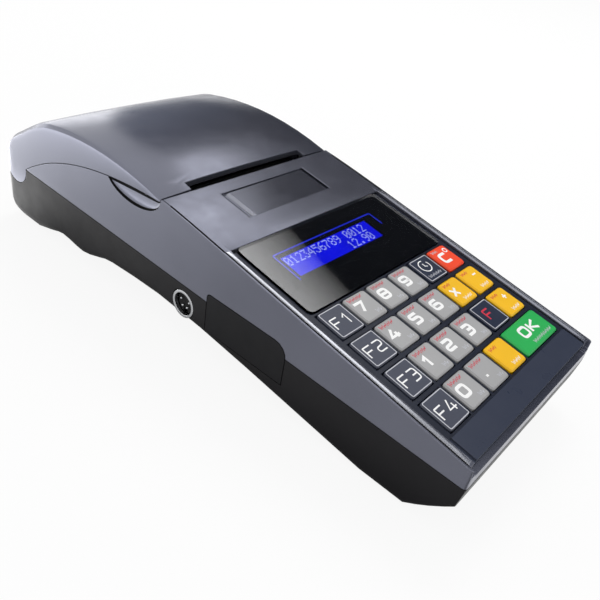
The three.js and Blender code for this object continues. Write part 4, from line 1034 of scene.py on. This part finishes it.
def window_mask():
    """The black print on the window's underside, with a hole over the display."""
    bm = bmesh.new()
    outer_low, outer_high, hole_low, hole_high = [
        box_ring(bm, box, w)
        for box in (grown(WINDOW_BOX, -MASK_INSET), grown(LCD_BOX, MASK_HOLE_MARGIN))
        for w in (WINDOW_UNDERSIDE - MASK_THICKNESS, MASK_TOP)
    ]
    join_rows(bm, [outer_low, outer_high, hole_high, hole_low, outer_low], wrap=True)
    finish_piece(bm, "window_mask", mask_black, "case")


def lcd_panel():
    """The display's lit panel."""
    left, front, right, rear = LCD_BOX
    middle = (front + rear) / 2
    ends = [Vector((left, middle)), Vector((right, middle))]
    bm = bmesh.new()
    add_stroke(bm, ends, rear - front, LCD_TOP - LCD_THICKNESS, LCD_TOP)
    finish_piece(bm, "lcd_panel", lcd_light, "case")


def lcd_edge_line():
    """The thin lit edge of the display's light guide."""
    left, front, right, rear = GUIDE_BOX
    places = ((left, front), (left, rear), (right, rear), (right, front + GUIDE_SHORT))
    line = rounded([Vector(place) for place in places], GUIDE_CORNER)
    bm = bmesh.new()
    add_stroke(bm, line, GUIDE_STROKE, MASK_TOP, MASK_TOP + GUIDE_THICKNESS)
    finish_piece(bm, "lcd_edge", lcd_edge, "case")


# Dot characters of the display, each as seven rows of five dots
DOT_DIGITS = {
    "0": ("01110", "10001", "10011", "10101", "11001", "10001", "01110"),
    "1": ("00100", "01100", "00100", "00100", "00100", "00100", "01110"),
    "2": ("01110", "10001", "00001", "00010", "00100", "01000", "11111"),
    "3": ("11111", "00010", "00100", "00010", "00001", "10001", "01110"),
    "4": ("00010", "00110", "01010", "10010", "11111", "00010", "00010"),
    "5": ("11111", "10000", "11110", "00001", "00001", "10001", "01110"),
    "6": ("00110", "01000", "10000", "11110", "10001", "10001", "01110"),
    "7": ("11111", "00001", "00010", "00100", "01000", "01000", "01000"),
    "8": ("01110", "10001", "10001", "01110", "10001", "10001", "01110"),
    "9": ("01110", "10001", "10001", "01111", "00001", "00010", "01100"),
    ".": ("00000", "00000", "00000", "00000", "00000", "01100", "01100"),
    " ": ("00000",) * 7,
}
DISPLAY_LINES = ("0123456789 0012 ", "          12.90 ")
CHARACTER_PITCH = 2.72 * MM
LINE_PITCH = 4.45 * MM
DOT_PITCH = 0.46 * MM
DOT_LENGTH_PITCH = 0.55 * MM
DOT_GAP = 0.1 * MM
DOT_HEIGHT = 0.02 * MM
TEXT_INSET = 0.4 * MM


def draw_dots(bm, character, left, rear):
    """The dots of one character, whose box starts at left and rear."""
    for row, dots in enumerate(DOT_DIGITS[character]):
        v = rear - (row + 0.5) * DOT_LENGTH_PITCH
        for column, dot in enumerate(dots):
            if dot == "1":
                x = left + column * DOT_PITCH
                ends = [Vector((x, v)), Vector((x + DOT_PITCH - DOT_GAP, v))]
                add_stroke(bm, ends, DOT_LENGTH_PITCH - DOT_GAP, LCD_TOP, LCD_TOP + DOT_HEIGHT)


def lcd_digits():
    """The display's two lines of digits."""
    lcd_left, _, _, lcd_rear = LCD_BOX
    bm = bmesh.new()
    for line, text in enumerate(DISPLAY_LINES):
        rear = lcd_rear - TEXT_INSET - line * LINE_PITCH
        for place, character in enumerate(text):
            draw_dots(bm, character, lcd_left + TEXT_INSET + place * CHARACTER_PITCH, rear)
    finish_piece(bm, "lcd_digits", lcd_dots, "case")


window_mask()
lcd_panel()
lcd_edge_line()
lcd_digits()

# Floor and world: the share of plain white that the floor shows, and the world's light
FLOOR_HALF = 3.0
FLOOR_CLOUD_SIZE = 0.4
FLOOR_TONES = ((0.93, 0.93, 0.93, 1), (0.96, 0.96, 0.96, 1))
FLOOR_LIFT = 0.9
WORLD_LEVEL = 0.7


def add_floor():
    """A pale floor, which keeps the object's shadow."""
    material, graph = new_material("floor")
    colour = graph.mix(graph.noise(FLOOR_CLOUD_SIZE), *FLOOR_TONES)
    matt = graph.add("ShaderNodeBsdfDiffuse", {"Color": colour}).outputs[0]
    share = graph.math("MULTIPLY", graph.background_rays(), FLOOR_LIFT)
    inputs = {0: share, 1: matt, 2: graph.emission(1.0)}
    graph.surface(graph.add("ShaderNodeMixShader", inputs).outputs[0])
    bm = bmesh.new()
    corners = ((-1, -1), (1, -1), (1, 1), (-1, 1))
    bm.faces.new([bm.verts.new((x * FLOOR_HALF, y * FLOOR_HALF, 0)) for x, y in corners])
    floor = new_object(bm, "floor", material)


def add_world():
    """A white world, which lights the object at WORLD_LEVEL."""
    world = bpy.data.worlds.new("world")
    world.use_nodes = True
    bpy.context.scene.world = world
    graph = Graph(world.node_tree)
    level = graph.spread(graph.background_rays(), WORLD_LEVEL, 1.0, 0.0, 1.0)
    sky = graph.add("ShaderNodeBackground", {"Color": WHITE, "Strength": level})
    graph.add("ShaderNodeOutputWorld", {"Surface": sky.outputs[0]})


# The one lamp, above at the right
LAMP_PLACE = Vector((0.55, 0.25, 0.9))
LAMP_TARGET = Vector((0, 0, 0.03))
LAMP_SIZE = 0.5
LAMP_POWER = 4.0


def add_lamp():
    """The lamp shows in no gloss or glass, where the softbox's face stands for it."""
    data = bpy.data.lights.new("softbox", "AREA")
    data.shape = "RECTANGLE"
    data.size = LAMP_SIZE
    data.size_y = LAMP_SIZE
    data.energy = LAMP_POWER
    lamp = bpy.data.objects.new("softbox", data)
    bpy.context.scene.collection.objects.link(lamp)
    aim = (LAMP_TARGET - LAMP_PLACE).to_track_quat("-Z", "Y")
    lamp.matrix_world = Matrix.Translation(LAMP_PLACE) @ aim.to_matrix().to_4x4()
    lamp.visible_glossy = False
    lamp.visible_transmission = False


def add_reflector(name, corners, shader_of):
    """A stage card that only shows in gloss and glass, with a shader of its own."""
    material, graph = new_material(name)
    graph.surface(shader_of(graph))
    bm = bmesh.new()
    join_rows(bm, [[bm.verts.new(point) for point in column] for column in corners])
    card = new_object(bm, name, material)
    for ray in ("camera", "diffuse", "shadow", "volume_scatter"):
        setattr(card, "visible_" + ray, False)


# The softbox's face: its lower edge from rear to front, and how its light grows and falls away
# from that edge. Its rear part is brighter than its front part
BOX_EDGE = Vector((0.695, 0.255, 0.681))
BOX_ALONG = Vector((0.148, -0.982, 0.121)).normalized()
BOX_AWAY = Vector((-0.664, -0.009, 0.739)).normalized()
BOX_REAR = -0.32
BOX_FRONT = 0.3
BOX_DEPTH = 0.42
BOX_RAMP = 0.09
BOX_LEVELS = (0.35, 3.9)
BOX_FALL = (1.2 * BOX_RAMP, 1.8 * BOX_RAMP)
BOX_FAR_SHARE = 0.22
BOX_SHARES = (1.08, 0.78)
BOX_SHARE_ENDS = (-0.2, -0.1)

# The dark flag's upper edge, as azimuth and elevation seen from the register in degrees, its
# lower edge, and its light by azimuth
FLAG_EDGE = (
    (27, 10), (30, 24), (34, 34), (40, 38), (46, 37),
    (57, 37), (63, 46), (90, 47), (118, 46), (135, 20),
)
FLAG_FOOT = 5
FLAG_TINT = "c4cfe8"
FLAG_LEVELS = (0.4, 0.05)
FLAG_RAMP = (math.radians(30), math.radians(50))
FLAG_FRONT_GAIN = 0.12
FLAG_FRONT_RAMP = (math.radians(80), math.radians(95))

# The bright card behind the register, as azimuths and elevations in degrees
REAR_CARD = (-12, 30, -4, 15)
REAR_LEVEL = 2.2

# How far off the flag and the rear card are
BAND_DISTANCE = 1.2

# The card on the floor at the left, as left, front, right and rear. Its light grows towards the
# rear from CARD_BASE, is shaded close to the body, and is bright close to the body's rear
LEFT_CARD = (-0.55, -0.30, -0.035, 0.60)
CARD_HEIGHT = 0.0015
CARD_BASE = 0.62
CARD_NEAR_GAIN = 0.5
CARD_FAR_GAIN = 2.4
CARD_MIDDLE = 0.1
CARD_END = 0.35
CARD_SHADE = (-0.060, -0.043)
CARD_SHADE_LEVEL = 0.25
CARD_REAR = (0.075, 0.13)
CARD_REAR_LEVEL = 2.5
CARD_CLOSE = (-0.064, -0.056)


def softbox_shader(graph):
    """Light that grows away from the lower edge and then falls, less of it in front."""
    local = graph.minus(graph.place(), BOX_EDGE)
    away = graph.dot(local, BOX_AWAY)
    rise = graph.spread(away, *BOX_LEVELS, 0.0, BOX_RAMP)
    fall = graph.spread(away, 1.0, BOX_FAR_SHARE, *BOX_FALL)
    share = graph.spread(graph.dot(local, BOX_ALONG), *BOX_SHARES, *BOX_SHARE_ENDS)
    return graph.emission(graph.math("MULTIPLY", graph.math("MULTIPLY", rise, fall), share))


def flag_shader(graph):
    """Nearly dark, with a lighter rear end and a slightly lighter front."""
    place = graph.parts(graph.place())
    azimuth = graph.math("ARCTAN2", place["X"], place["Y"])
    rear = graph.spread(azimuth, *FLAG_LEVELS, *FLAG_RAMP)
    front = graph.spread(azimuth, 0.0, FLAG_FRONT_GAIN, *FLAG_FRONT_RAMP)
    return graph.emission(graph.math("ADD", rear, front), linear(FLAG_TINT))


def left_card_shader(graph):
    """Light that grows towards the rear, with the shade and the bright spot by the body."""
    place = graph.parts(graph.place())
    near_end = CARD_BASE + CARD_NEAR_GAIN
    near = graph.spread(place["Y"], CARD_BASE, near_end, 0.0, CARD_MIDDLE)
    far = graph.spread(place["Y"], 0.0, CARD_FAR_GAIN, CARD_MIDDLE, CARD_END)
    beside = graph.spread(place["X"], 1.0, CARD_SHADE_LEVEL, *CARD_SHADE)
    behind = graph.spread(place["Y"], 0.0, CARD_REAR_LEVEL, *CARD_REAR)
    close = graph.spread(place["X"], 0.0, 1.0, *CARD_CLOSE)
    shade = graph.math("MAXIMUM", beside, graph.math("MULTIPLY", behind, close))
    return graph.emission(graph.math("MULTIPLY", graph.math("ADD", near, far), shade))


def rear_card_shader(graph):
    return graph.emission(REAR_LEVEL)


def band(edges):
    """Upright columns at BAND_DISTANCE, from azimuths, lower and upper elevations in degrees."""
    columns = []
    for azimuth, low, high in edges:
        turn = math.radians(azimuth)
        foot = Vector((math.sin(turn), math.cos(turn), 0)) * BAND_DISTANCE
        heights = [math.tan(math.radians(angle)) * BAND_DISTANCE for angle in (low, high)]
        columns.append([foot + Vector((0, 0, height)) for height in heights])
    return columns


def add_reflectors():
    """The four cards that the glossy surfaces mirror."""
    box_feet = [BOX_EDGE + BOX_ALONG * run for run in (BOX_REAR, BOX_FRONT)]
    box = [[foot, foot + BOX_AWAY * BOX_DEPTH] for foot in box_feet]
    add_reflector("softbox_face", box, softbox_shader)
    left, front, right, rear = LEFT_CARD
    card = [[Vector((x, y, CARD_HEIGHT)) for y in (front, rear)] for x in (left, right)]
    add_reflector("left_card", card, left_card_shader)
    start, end, low, high = REAR_CARD
    rear_band = band([(start, low, high), (end, low, high)])
    add_reflector("rear_card", rear_band, rear_card_shader)
    flag = band([(azimuth, FLAG_FOOT, top) for azimuth, top in FLAG_EDGE])
    add_reflector("dark_flag", flag, flag_shader)


add_floor()
add_world()
add_reflectors()
add_lamp()

scene = bpy.context.scene
scene.view_settings.view_transform = "Standard"
